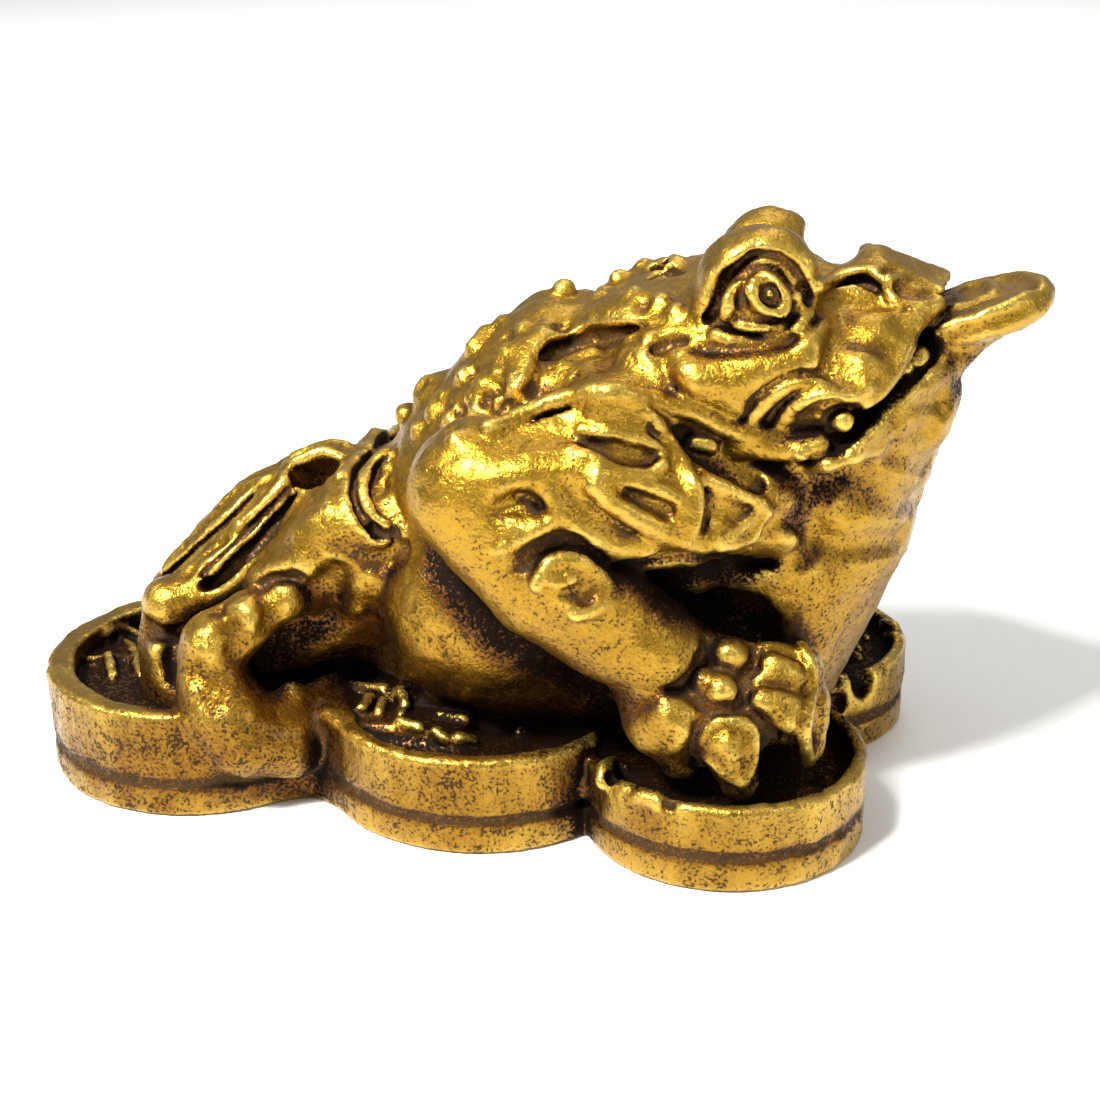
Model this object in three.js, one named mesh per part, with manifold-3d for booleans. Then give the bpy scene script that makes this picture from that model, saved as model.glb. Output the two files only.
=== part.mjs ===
// A three-legged money toad on a ring of five coins, with a coin in its open mouth, cast in one piece.
// Millimetres, +Z up, +X the way the toad looks, +Y its left. The origin is under the middle of the base.
import * as THREE from 'three';
import { MarchingCubes } from 'three/addons/objects/MarchingCubes.js';
import { SimplifyModifier } from 'three/addons/modifiers/SimplifyModifier.js';
import { mergeVertices } from 'three/addons/utils/BufferGeometryUtils.js';
import Module from 'manifold-3d';

// The toad is a free form laid out on a carver's grid of GRID_LENGTH steps from its hind toe to its snout.
const TOAD_LENGTH = 63;
const GRID_LENGTH = 63;
const STEP = TOAD_LENGTH / GRID_LENGTH;

// The coins of the base
const HAND_COIN_RADIUS = 10.6;
const BODY_COIN_RADIUS = 12.4;
const COIN_HEIGHT = 7.4;
const COIN_GROOVE_HEIGHT = 2.8;
const COIN_GROOVE_WIDTH = 0.9;
const COIN_GROOVE_DEPTH = 0.6;
const COIN_RIM_WIDTH = 1.3;
const COIN_FACE_DEPTH = 1.8;
const COIN_EDGE_ROUND = 0.5;
const COIN_SIDES = 30;

// The strokes and the square frame on a coin's face
const HOLE_FRAME = 4.6;
const STROKE_WIDTH = 0.7;
const STROKE_HEIGHT = 0.8;
const STROKES_IN_GROUP = 2;

// The webs that tie neighbouring coins together, and the floor between them all
const WEB_WAIST = 10;
const WEB_HEIGHT = 5.6;

// The coin in the mouth
const MOUTH_COIN_RADIUS = 5.6;
const MOUTH_COIN_THICKNESS = 2.6;
const MOUTH_COIN_RIM = 0.9;
const MOUTH_COIN_RECESS = 0.45;
const MOUTH_COIN_TILT = 21;
const MOUTH_COIN_SIDES = 28;

// How finely the toad's surface is taken from its form, and how many vertices are kept of it
const SAMPLE = 0.85;
const TOAD_VERTICES = 2700;

// Where each coin's centre lies on the grid, going round the ring, and how far its pattern is turned
const COINS = {
  rear: { x: -27.5, y: -3.1, turn: 20, radius: BODY_COIN_RADIUS },
  near: { x: -4.5, y: -5.4, turn: 5, radius: BODY_COIN_RADIUS },
  nearHand: { x: 14.4, y: -9.8, turn: -15, radius: HAND_COIN_RADIUS },
  farHand: { x: 18.3, y: 10.4, turn: 30, radius: HAND_COIN_RADIUS },
  far: { x: -4.5, y: 7.6, turn: -10, radius: BODY_COIN_RADIUS },
};
const GRID_SEAT = 7.4;
const MOUTH_COIN_PLACE = { x: 31.0, z: 37.6 };

// Height over the floor of a grid height: the toad rides up and down with the coins' tops
const lift = (z) => COIN_HEIGHT + (z - GRID_SEAT) * STEP;

// A form is its distance function in grid steps, and a ball that holds all of it
const form = (distance, x, y, z, reach) => ({ distance, x, y, z, reach });

// A ball stretched to three radii, pitched nose-up about Y
function egg(cx, cy, cz, rx, ry, rz, pitch = 0) {
  const p = THREE.MathUtils.degToRad(pitch);
  const [cp, sp] = [Math.cos(p), Math.sin(p)];
  const distance = (x, y, z) => {
    const dx = x - cx;
    const dz = z - cz;
    const u = dx * cp + dz * sp;
    const v = y - cy;
    const t = dz * cp - dx * sp;
    const inner = Math.hypot(u / rx, v / ry, t / rz);
    const slope = Math.hypot(u / (rx * rx), v / (ry * ry), t / (rz * rz));
    return slope > 0 ? (inner * (inner - 1)) / slope : -Math.min(rx, ry, rz);
  };
  return form(distance, cx, cy, cz, Math.max(rx, ry, rz));
}

// A run of balls [x, y, z, radius] joined by cones, such as a limb
function limb(...balls) {
  const points = balls.map(([x, y, z]) => new THREE.Vector3(x, y, z));
  const centre = new THREE.Box3().setFromPoints(points).getCenter(new THREE.Vector3());
  const reach = Math.max(...balls.map((ball, i) => centre.distanceTo(points[i]) + ball[3]));
  const distance = (x, y, z) => {
    let best = Infinity;
    for (let i = 0; i + 1 < balls.length; i++) {
      const [ax, ay, az, ar] = balls[i];
      const [bx, by, bz, br] = balls[i + 1];
      const ex = bx - ax;
      const ey = by - ay;
      const ez = bz - az;
      const along = ((x - ax) * ex + (y - ay) * ey + (z - az) * ez) / (ex * ex + ey * ey + ez * ez);
      const t = Math.min(1, Math.max(0, along));
      const gap = Math.hypot(x - ax - t * ex, y - ay - t * ey, z - az - t * ez) - ar - t * (br - ar);
      best = Math.min(best, gap);
    }
    return best;
  };
  return form(distance, centre.x, centre.y, centre.z, reach);
}

// A round ridge of one radius along a smooth curve through the given points
function ridge(radius, ...points) {
  const curve = new THREE.CatmullRomCurve3(points.map((p) => new THREE.Vector3(...p)));
  const stations = curve.getPoints(points.length * 2);
  return limb(...stations.map((s) => [s.x, s.y, s.z, radius]));
}

// The same form stretched sideways about the middle plane
function widen(f, factor) {
  return form((x, y, z) => f.distance(x, y / factor, z), f.x, f.y * factor, f.z, f.reach * factor);
}

// Where a form is worked: as given, mirrored to both sides, or carried over to the far side alone
const AS_GIVEN = (y) => y;
const BOTH_SIDES = (y) => -Math.abs(y);
const FAR_SIDE = (y) => -y;

// One step of modelling: a form added or cut away, with a fillet about as wide as the blend
const add = (f, width, side = AS_GIVEN) => ({ f, width, side, sign: 1 });
const cut = (f, width, side = AS_GIVEN) => ({ f, width, side, sign: -1 });

// A distance larger than any in the model
const OUTSIDE = 1000;

// Union of two distances with a fillet
function blend(a, b, width) {
  const h = Math.max(width - Math.abs(a - b), 0) / width;
  return Math.min(a, b) - (h * h * width) / 4;
}

// Distance after one more step, which is left out where its form is out of reach
function worked(before, { f, width, side, sign }, x, y, z) {
  const v = side(y);
  const d = sign * before;
  const outOfReach = Math.hypot(x - f.x, v - f.y, z - f.z) - f.reach > d + width;
  return outOfReach ? before : sign * blend(d, f.distance(x, v, z), width);
}

// Trunk, belly and chest
function trunk() {
  return [
    add(widen(limb([-11, 0, 16.8, 9.4], [8, 0, 25.8, 11.6]), 1.2), 1),
    add(egg(-3.5, -6.5, 15.8, 9, 7.5, 7.6, 12), 3, BOTH_SIDES),
    add(egg(0, 0, 9, 15, 9.5, 6), 3),
    add(widen(limb([20, 0, 29.5, 10.3], [18, 0, 20, 9.6], [14.5, 0, 11.5, 9]), 1.08), 2),
  ];
}

// Skull, cheeks, snout, lips and the open mouth
function head() {
  const upperLip = [[29, 0, 39.2], [28, -3.5, 38.9], [26.6, -5.2, 38], [25.4, -7.2, 35.8], [24, -9, 34.3],
    [22.4, -10.5, 33.6], [20.4, -11.4, 33.6]];
  const lowerLip = [[30.3, 0, 35.4], [28.8, -3, 34.9], [26, -7, 32.4], [24.2, -9.2, 30.7], [22.3, -11, 29.6]];
  return [
    add(egg(12, 0, 32.6, 12, 11.8, 7.8, 14), 1.5),
    add(egg(15.5, -5, 34.6, 9, 7.2, 4.8), 2, BOTH_SIDES),
    add(widen(limb([15, 0, 36.4, 4.6], [22, 0, 37.4, 3.6], [26.6, 0, 38.6, 2]), 1.8), 2),
    add(ridge(1, ...upperLip), 1.2, BOTH_SIDES),
    add(ridge(0.9, ...lowerLip), 1.2, BOTH_SIDES),
    cut(limb([29.5, 0, 37.3, 1.5], [26, -6.6, 34.3, 1.2], [22.4, -11.4, 31.4, 1.2]), 0.6, BOTH_SIDES),
    cut(limb([22, 0, 36, 2], [30, 0, 37.3, 1.6]), 0.6, BOTH_SIDES),
    cut(limb([20, -4, 34, 1.6], [27, -4.5, 35.8, 1.2], [22, -9, 32.4, 1.2]), 0.6, BOTH_SIDES),
  ];
}

// Nostril humps with their hollows, the lobes of the upper lip and the folds beside the mouth
function muzzle() {
  return [
    add(egg(22.5, -3.8, 39.5, 3, 2, 1.6), 1.2, BOTH_SIDES),
    add(egg(24, -6.6, 36.8, 1.7, 1.6, 2.6), 1, BOTH_SIDES),
    cut(egg(21.4, -6, 39.6, 1.3, 1.1, 0.8), 0.5, BOTH_SIDES),
    add(ridge(0.7, [15.5, -12, 32.2], [17.7, -11.8, 34.7], [21, -10.8, 35.2]), 0.8, BOTH_SIDES),
    add(ridge(0.7, [17.4, -12, 31.9], [20.2, -11.6, 33.6], [23, -10, 33.6]), 0.8, BOTH_SIDES),
  ];
}

// Brow hood, eye socket, eyeball and the folds under the eye
function eyes() {
  return [
    add(egg(15.2, -6.8, 39.6, 4.8, 4, 4.1), 1.2),
    add(egg(15.2, -6.8, 39.1, 4.8, 4, 4.1), 1.2, FAR_SIDE),
    cut(egg(16, -11.2, 40, 3.6, 2.4, 2.5), 0.6, BOTH_SIDES),
    add(egg(16.2, -9, 40, 1.9, 1.5, 1.7), 0.4, BOTH_SIDES),
    add(ridge(0.7, [12.6, -11.6, 37.9], [15.5, -11.6, 37.2], [18.8, -10.6, 38.2]), 0.8, BOTH_SIDES),
    add(ridge(1.1, [11.4, -12, 35.4], [15.5, -12.1, 35.2], [19, -11, 36.7], [20.4, -9, 39]), 1, BOTH_SIDES),
  ];
}

// The thin collar that runs back from the mouth's corner over the arm, with the slit under it
function collar() {
  const edge = [[-3.5, -12.6, 30.8], [1.2, -12.8, 32.4], [6.4, -13, 33.6], [11.9, -12.8, 32.5], [16, -12.3, 30.7],
    [20.9, -11.6, 30.2]];
  const slit = edge.slice(1, -1).map(([x, y, z]) => [x, y - 0.9, z - 1.5]);
  return [cut(ridge(0.8, ...slit), 0.4, BOTH_SIDES), add(ridge(0.8, ...edge), 1, BOTH_SIDES)];
}

// One arm: upper arm, elbow, forearm and cuff, with the wrist carried forward by reach
function arm(reach) {
  return [
    limb([-2.6, -14, 27.4, 4.8], [5, -13.6, 26.6, 4.9], [11, -11.8, 26, 4.6], [16, -9.8, 25.3, 3.4]),
    limb([-3, -14.4, 26.8, 4.9], [2, -15, 21.2, 4.6], [8 + reach, -14, 15.8, 3.7], [11.5 + reach, -12.6, 12.6, 3.7]),
    egg(10.4 + reach, -14.6, 16, 2.6, 2, 2.2),
  ];
}

// Toes of a hand: knuckle balls that end in blunt tips on the coin
function hand(reach) {
  const tips = [[-3.2, -15.2, 7], [0.6, -16.4, 6.8], [4.6, -13.4, 6.6], [5.4, -9.6, 6.8]];
  const heel = [11.5 + reach, -12.4, 11.6, 3.4];
  return [
    limb(heel, [14.6 + reach, -11.8, 10.4, 4]),
    ...tips.map(([dx, y, z]) => {
      const knuckle = [13.4 + reach + dx * 0.6, y * 0.96, 11.2, 1.9];
      return limb([13 + reach, -12, 11.6, 2.4], knuckle, [14.4 + reach + dx, y, z, 1.5]);
    }),
  ];
}

// Both arms and hands. The far hand reaches further, to the coin that it rests on
function arms() {
  const farReach = COINS.farHand.x - COINS.nearHand.x;
  const near = [...arm(0), ...hand(0)].map((f) => add(f, 0.8));
  const far = [...arm(farReach), ...hand(farReach)].map((f) => add(f, 0.8, FAR_SIDE));
  return [...near, ...far];
}

// The single hind limb: haunch, ribbed tail over it, and toes that bend down onto the rear coin
function hindLimb() {
  const tail = [[-17, 0, 22], [-23.5, -0.5, 18], [-30.5, -1, 11.6]];
  const ribs = [-3.6, -1.8, 0.2, 2.2, 4];
  return [
    add(limb([-14, 0, 17, 8], [-21, -2.5, 12.5, 6], [-25, -3.5, 8, 4.6]), 2),
    add(widen(limb([-17, 0, 21.8, 3], [-23.5, 0, 17.6, 3], [-30, -0.4, 11.6, 2.3]), 1.5), 1),
    ...ribs.map((side) => add(ridge(0.75, ...tail.map(([x, y, z]) => [x, y + side, z + 2.4 - side * side * 0.06])), 0.5)),
    cut(egg(-17, -4.6, 22.6, 1.9, 2, 1.6), 0.5, BOTH_SIDES),
    add(limb([-14.5, -5.5, 19.5, 5], [-19, -6.6, 15.5, 3.8]), 1, BOTH_SIDES),
    ...toes(),
  ];
}

// Four toes of the hind foot, each a knuckle with a blunt tip on the coin's face
function toes() {
  const knuckles = [[-25.6, -9, 10.6], [-30.2, -4.8, 11.8], [-29.4, 0.6, 11], [-25.6, 4, 10]];
  return knuckles.flatMap(([x, y, z]) => [
    add(limb([-19.5, y * 0.72, 14.6, 3.1], [x, y, z, 2.4], [x + 1, y * 1.08 - 0.3, 6, 1.9]), 0.6),
  ]);
}

// Warts down the back: two rows that shrink towards the rump, and a staggered row along the spine
function warts() {
  const balls = [];
  const rows = 7;
  for (let i = 0; i < rows; i++) {
    const t = i / (rows - 1);
    const x = THREE.MathUtils.lerp(8.6, -11.5, t);
    const z = THREE.MathUtils.lerp(39.6, 27.6, t) + 1.4 * Math.sin(Math.PI * t);
    const size = THREE.MathUtils.lerp(1.5, 0.9, t);
    balls.push([x, 0, z + 0.2, size]);
    balls.push([x - 1.6, -4.4, z - 1.6, size * 0.95]);
    balls.push([x - 0.3, -8, z - 4.4, size * 0.85]);
  }
  return balls.map(([x, y, z, r]) => add(egg(x, y, z, r, r, r), 0.5, BOTH_SIDES));
}

// Concentric skin folds on the flank behind the elbow
function flankFolds() {
  return [0, 1, 2].map((i) => {
    const x = -13.6 + 1.7 * i;
    const y = -11 - 0.7 * i;
    const fold = ridge(0.8, [x + 2, y + 4.6, 26], [x, y + 1.6, 24], [x + 0.1, y + 0.4, 21.6], [x + 2, y + 0.2, 19]);
    return add(fold, 0.6, BOTH_SIDES);
  });
}

// Folds on the upper arm: two leaf loops and the ridge below them
function armFolds() {
  return [
    ridge(0.6, [3, -16.6, 30.2], [8, -16, 30.2], [11.6, -14.8, 28.2], [12.2, -14.6, 25.4], [9.5, -15.6, 25.6]),
    ridge(0.6, [3.6, -17.2, 29.2], [8, -16.4, 27.8], [10.6, -15.6, 26]),
    ridge(0.6, [12.4, -14.2, 27.4], [15.6, -12.8, 27], [17, -12, 25.4], [14, -13.2, 24]),
  ].map((f) => add(f, 0.5, BOTH_SIDES));
}

// The coins' space kept clear of the toad: nothing of it hangs below the floor that it stands on
const overFloor = (d, z) => Math.max(d, (COIN_GROOVE_HEIGHT - lift(z)) / STEP);

// All of the toad as one distance, in grid steps
function toadForm() {
  const steps = [...trunk(), ...head(), ...eyes(), ...muzzle(), ...arms(), ...hindLimb(), ...collar(),
    ...warts(), ...flankFolds(), ...armFolds()];
  return (x, y, z) => overFloor(steps.reduce((d, step) => worked(d, step, x, y, z), OUTSIDE), z);
}

// The surface of a form inside a box on the grid, as merged triangles in grid steps
function surfaceOf(distance, box) {
  const centre = box.getCenter(new THREE.Vector3());
  const span = box.getSize(new THREE.Vector3());
  const cell = SAMPLE / STEP;
  const count = Math.ceil(Math.max(span.x, span.y, span.z) / cell) + 4;
  const half = count / 2;
  const cubes = new MarchingCubes(count, new THREE.MeshStandardMaterial(), false, false, 120000);
  cubes.isolation = 0;
  const least = cell * 0.08;
  const spot = new THREE.Vector3();
  for (let k = 0; k < count; k++) {
    for (let j = 0; j < count; j++) {
      for (let i = 0; i < count; i++) {
        const x = centre.x + (i - half) * cell;
        const y = centre.y + (j - half) * cell;
        const z = centre.z + (k - half) * cell;
        const d = box.containsPoint(spot.set(x, y, z)) ? distance(x, y, z) : cell;
        cubes.field[i + count * (j + count * k)] = Math.abs(d) < least ? -least * Math.sign(d || 1) : -d;
      }
    }
  }
  cubes.update();
  const points = cubes.geometry.getAttribute('position').array.slice(0, cubes.count * 3);
  const soup = new THREE.BufferGeometry();
  soup.setAttribute('position', new THREE.BufferAttribute(points, 3));
  soup.scale(half * cell, half * cell, half * cell);
  soup.translate(centre.x, centre.y, centre.z);
  return mergeVertices(soup, 1e-4);
}

// Toad as a light mesh in millimetres
async function toadGeometry() {
  const box = new THREE.Box3(new THREE.Vector3(-36, -22, 0), new THREE.Vector3(34, 22, 48));
  const dense = surfaceOf(toadForm(), box);
  const surplus = dense.getAttribute('position').count - TOAD_VERTICES;
  const light = await new SimplifyModifier().modify(dense, surplus);
  const points = light.getAttribute('position');
  for (let i = 0; i < points.count; i++) {
    points.setXYZ(i, points.getX(i) * STEP, points.getY(i) * STEP, lift(points.getZ(i)));
  }
  return light;
}

// A disc turned from its half section: a list of [radius, height] from the axis out and back
function turned(section, sides) {
  const disc = new THREE.LatheGeometry(section.map(([r, h]) => new THREE.Vector2(r, h)), sides);
  return disc.rotateX(Math.PI / 2);
}

// Coin of the base: flat foot, grooved side, rounded rim and a sunk face
function coinBlank(radius) {
  const groove = COIN_GROOVE_HEIGHT;
  return turned([
    [0, 0],
    [radius - COIN_EDGE_ROUND, 0],
    [radius, COIN_EDGE_ROUND],
    [radius, groove - COIN_GROOVE_WIDTH / 2],
    [radius - COIN_GROOVE_DEPTH, groove],
    [radius, groove + COIN_GROOVE_WIDTH / 2],
    [radius, COIN_HEIGHT - COIN_EDGE_ROUND],
    [radius - COIN_RIM_WIDTH / 2, COIN_HEIGHT],
    [radius - COIN_RIM_WIDTH, COIN_HEIGHT - COIN_FACE_DEPTH],
    [0, COIN_HEIGHT - COIN_FACE_DEPTH],
  ], COIN_SIDES);
}

// A raised bar on a coin's face, from its middle point, length and turn in the face
function stroke(x, y, length, turn) {
  const bar = new THREE.BoxGeometry(length, STROKE_WIDTH, STROKE_HEIGHT * 2);
  return bar.rotateZ(turn).translate(x, y, COIN_HEIGHT - COIN_FACE_DEPTH);
}

// The face's pattern: a square frame, and a group of plain strokes on each of its four sides
function coinStrokes(radius) {
  const bars = [];
  const free = (radius - COIN_RIM_WIDTH - HOLE_FRAME / 2) / (STROKES_IN_GROUP + 1);
  for (let quarter = 0; quarter < 4; quarter++) {
    const turn = (quarter * Math.PI) / 2;
    const acrossTurn = turn + Math.PI / 2;
    const at = (out) => new THREE.Vector2(out, 0).rotateAround(new THREE.Vector2(), turn);
    const side = at(HOLE_FRAME / 2);
    bars.push(stroke(side.x, side.y, HOLE_FRAME, acrossTurn));
    for (let i = 1; i <= STROKES_IN_GROUP; i++) {
      const spot = at(HOLE_FRAME / 2 + i * free);
      bars.push(stroke(spot.x, spot.y, HOLE_FRAME * (i % 2 ? 1 : 0.6), acrossTurn));
    }
  }
  return bars;
}

// A waisted web between the centres of two coins
function web(from, to) {
  const length = to.distanceTo(from);
  const root = HAND_COIN_RADIUS * 0.8;
  const waist = WEB_WAIST - root;
  const shape = new THREE.Shape();
  shape.moveTo(0, -root);
  shape.quadraticCurveTo(length / 2, -waist, length, -root);
  shape.lineTo(length, root);
  shape.quadraticCurveTo(length / 2, waist, 0, root);
  shape.closePath();
  const solid = new THREE.ExtrudeGeometry(shape, { depth: WEB_HEIGHT, bevelEnabled: false, curveSegments: 6 });
  const heading = Math.atan2(to.y - from.y, to.x - from.x);
  return solid.rotateZ(heading).translate(from.x, from.y, 0);
}

// The floor inside the ring of coins, from centre to centre
function ringFloor(centres) {
  const shape = new THREE.Shape(centres);
  return new THREE.ExtrudeGeometry(shape, { depth: WEB_HEIGHT, bevelEnabled: false });
}

// The coin in the mouth: a rimmed disc, tilted nose-up
function mouthCoin() {
  const inner = MOUTH_COIN_RADIUS - MOUTH_COIN_RIM;
  const half = MOUTH_COIN_THICKNESS / 2;
  const disc = turned([
    [0, -half],
    [inner, -half],
    [MOUTH_COIN_RADIUS, -half + COIN_EDGE_ROUND],
    [MOUTH_COIN_RADIUS, half - COIN_EDGE_ROUND],
    [MOUTH_COIN_RADIUS - COIN_EDGE_ROUND, half],
    [inner, half - MOUTH_COIN_RECESS],
    [0, half - MOUTH_COIN_RECESS],
  ], MOUTH_COIN_SIDES);
  const tilt = THREE.MathUtils.degToRad(MOUTH_COIN_TILT);
  return disc.rotateY(-tilt).translate(MOUTH_COIN_PLACE.x * STEP, 0, lift(MOUTH_COIN_PLACE.z));
}

// Bare triangles of a geometry as a solid
function solidOf(wasm, geometry) {
  const bare = new THREE.BufferGeometry();
  bare.setAttribute('position', geometry.getAttribute('position'));
  bare.setIndex(geometry.getIndex());
  const merged = mergeVertices(bare, 1e-4);
  return new wasm.Manifold(new wasm.Mesh({
    numProp: 3,
    vertProperties: new Float32Array(merged.getAttribute('position').array),
    triVerts: new Uint32Array(merged.getIndex().array),
  }));
}

// The triangles of the skin that holds the first vertex of all, so that pockets sealed inside are filled
function outerSkin(triangles, vertexCount, first) {
  const group = Uint32Array.from({ length: vertexCount }, (_, i) => i);
  const root = (v) => {
    while (group[v] !== v) {
      v = group[v];
    }
    return v;
  };
  for (let i = 0; i < triangles.length; i += 3) {
    const target = root(triangles[i]);
    group[root(triangles[i + 1])] = target;
    group[root(triangles[i + 2])] = target;
  }
  return triangles.filter((_, i) => root(triangles[i - (i % 3)]) === root(first));
}

// A solid's triangles as a geometry with flat faces
function geometryOf(solid) {
  const mesh = solid.getMesh();
  const geometry = new THREE.BufferGeometry();
  const points = new THREE.BufferAttribute(mesh.vertProperties, 3);
  const heights = Array.from({ length: points.count }, (_, i) => points.getZ(i));
  const top = heights.indexOf(Math.max(...heights));
  geometry.setAttribute('position', points);
  geometry.setIndex(new THREE.BufferAttribute(outerSkin(mesh.triVerts, points.count, top), 1));
  geometry.computeVertexNormals();
  return geometry;
}

// Antique gold patina over brass
function brass() {
  return new THREE.MeshStandardMaterial({ color: 0xb08a28, roughness: 0.38, metalness: 0.9 });
}

async function castFigure() {
  const wasm = await Module();
  wasm.setup();
  const ring = Object.values(COINS);
  const centres = ring.map(({ x, y }) => new THREE.Vector2(x * STEP, y * STEP));
  const pieces = [await toadGeometry(), mouthCoin(), ringFloor(centres)];
  ring.forEach(({ turn, radius }, i) => {
    const angle = THREE.MathUtils.degToRad(turn);
    const place = (g) => g.rotateZ(angle).translate(centres[i].x, centres[i].y, 0);
    pieces.push(place(coinBlank(radius)), ...coinStrokes(radius).map(place));
    pieces.push(web(centres[i], centres[(i + 1) % ring.length]));
  });
  const cast = pieces.map((g) => solidOf(wasm, g)).reduce((whole, piece) => whole.add(piece));
  const geometry = geometryOf(cast);
  geometry.computeBoundingBox();
  const { min, max } = geometry.boundingBox;
  return geometry.translate(-(min.x + max.x) / 2, -(min.y + max.y) / 2, -min.z);
}

const figure = new THREE.Mesh(await castFigure(), brass());
figure.name = 'money_toad';

const model = new THREE.Group();
model.name = 'money_toad_figure';
model.add(figure);

export default model;
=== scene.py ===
"""Money toad desk figure: the finished brass casting, and a plain pale studio to show it in."""
import math
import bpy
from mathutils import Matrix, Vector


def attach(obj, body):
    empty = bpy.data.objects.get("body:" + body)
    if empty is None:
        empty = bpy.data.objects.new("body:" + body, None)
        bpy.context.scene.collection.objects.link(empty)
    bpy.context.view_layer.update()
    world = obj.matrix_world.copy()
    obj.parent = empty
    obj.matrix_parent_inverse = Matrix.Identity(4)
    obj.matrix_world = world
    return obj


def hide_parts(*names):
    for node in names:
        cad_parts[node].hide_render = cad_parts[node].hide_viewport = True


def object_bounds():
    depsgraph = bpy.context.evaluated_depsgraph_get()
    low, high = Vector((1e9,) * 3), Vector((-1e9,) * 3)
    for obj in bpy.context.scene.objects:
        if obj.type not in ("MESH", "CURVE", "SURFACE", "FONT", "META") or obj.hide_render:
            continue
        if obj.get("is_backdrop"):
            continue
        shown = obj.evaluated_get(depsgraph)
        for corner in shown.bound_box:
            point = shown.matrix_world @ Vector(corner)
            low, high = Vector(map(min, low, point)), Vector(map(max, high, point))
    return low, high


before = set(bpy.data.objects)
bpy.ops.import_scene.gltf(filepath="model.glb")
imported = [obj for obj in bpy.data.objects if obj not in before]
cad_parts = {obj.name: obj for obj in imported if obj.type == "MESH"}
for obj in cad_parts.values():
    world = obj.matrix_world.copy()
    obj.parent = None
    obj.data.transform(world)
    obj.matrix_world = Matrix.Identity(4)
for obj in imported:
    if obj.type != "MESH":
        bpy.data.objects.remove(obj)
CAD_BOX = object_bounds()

from concurrent.futures import ThreadPoolExecutor
from functools import partial

import bmesh
import bpy
import numpy as np
import openvdb
from mathutils import Vector, noise

bl_info = {
    "name": "Money toad casting",
    "version": (1, 0, 0),
    "blender": (4, 5, 0),
    "location": "3D View > Sidebar > Money toad",
    "description": "Models the finished money toad figure over its packed solid, with its studio",
    "category": "Object",
}

NODE = "money_toad"
MM = 0.001

# The toad's own grid is in millimetres: +X the way it looks, +Y its left, 0 the height of the table.
# Ring of coins under it: centre x and y, radius and height
REAR_COIN = (-27.5, -3.1, 12.4, 8.5)
NEAR_COIN = (-4.5, -5.4, 12.4, 7.6)
NEAR_HAND_COIN = (14.4, -9.8, 10.6, 6.6)
FAR_HAND_COIN = (18.1, 10.6, 10.5, 6.8)
FAR_COIN = (-4.5, 7.6, 12.4, 7.4)
COINS = (REAR_COIN, NEAR_COIN, NEAR_HAND_COIN, FAR_HAND_COIN, FAR_COIN)

# How much further forward the sunk face of the rear coin lies, its rim being wider at the back
REAR_FACE_SHIFT = 0.55

# Webs from each coin to the next round the ring: height and width
WEBS = ((7.0, 13.8), (3.9, 9.0), (4.2, 11.6), (4.2, 11.6), (5.6, 11.6))

# How much further forward the far hand stands than the near one, and how much lower its elbow hangs
FAR_REACH = FAR_HAND_COIN[0] - NEAR_HAND_COIN[0]
FAR_SINK = 2.5

# Points measured in one go, few enough for the processor's cache
BATCH = 20000

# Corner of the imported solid's box on the toad's grid
BOX_CORNER = (REAR_COIN[0] - REAR_COIN[2], NEAR_HAND_COIN[1] - NEAR_HAND_COIN[2], 0)

# Photograph's camera on the same grid, with its focal length in pixels of the square frame
PHOTO_SIDE = 1100
PHOTO_FOCAL = 1800
CAMERA_AT = (18.2, -129.7, 68.8)
CAMERA_AIM = (-0.42, 2.97, 16)

# Least and most distance from the camera to the figure's skin
SIGHT_RANGE = (105, 190)

# Box on the toad's grid that holds all of the figure
DRAWN_BOX = ((-41, -22, -0.7), (38, 22, 46))


class ToadSizes(bpy.types.PropertyGroup):
    """Sizes of the casting that can be changed by themselves."""
    groove_height: bpy.props.FloatProperty(
        name="Groove height", description="From the table to the groove that parts two stacked coins",
        default=0.0028, unit="LENGTH")
    groove_width: bpy.props.FloatProperty(
        name="Groove width", description="Width of that groove", default=0.0009, unit="LENGTH")
    rim_width: bpy.props.FloatProperty(
        name="Rim width", description="Width of the rear coin's raised rim, the others' in proportion",
        default=0.0013, unit="LENGTH")
    face_depth: bpy.props.FloatProperty(
        name="Face depth", description="From the top of the rim down to a coin's face",
        default=0.0019, unit="LENGTH")
    grain: bpy.props.FloatProperty(
        name="Hand grain", description="Height of the hand-modelled unevenness of the surface",
        default=0.00016, unit="LENGTH")
    cell: bpy.props.FloatProperty(
        name="Mesh cell", description="Spacing of the grid that the surface is drawn on",
        default=0.00026, unit="LENGTH")
    face_limit: bpy.props.IntProperty(
        name="Face limit", description="Most triangles that the casting may have", default=192000)


def linear(code):
    """An sRGB hex colour as linear red, green, blue and alpha."""
    parts = [int(code[i:i + 2], 16) / 255 for i in (1, 3, 5)]
    return [p / 12.92 if p <= 0.04045 else ((p + 0.055) / 1.055) ** 2.4 for p in parts] + [1]


def colour_property(name, description, code):
    return bpy.props.FloatVectorProperty(
        name=name, description=description, default=linear(code), subtype="COLOR", size=4, min=0, max=1)


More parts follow.
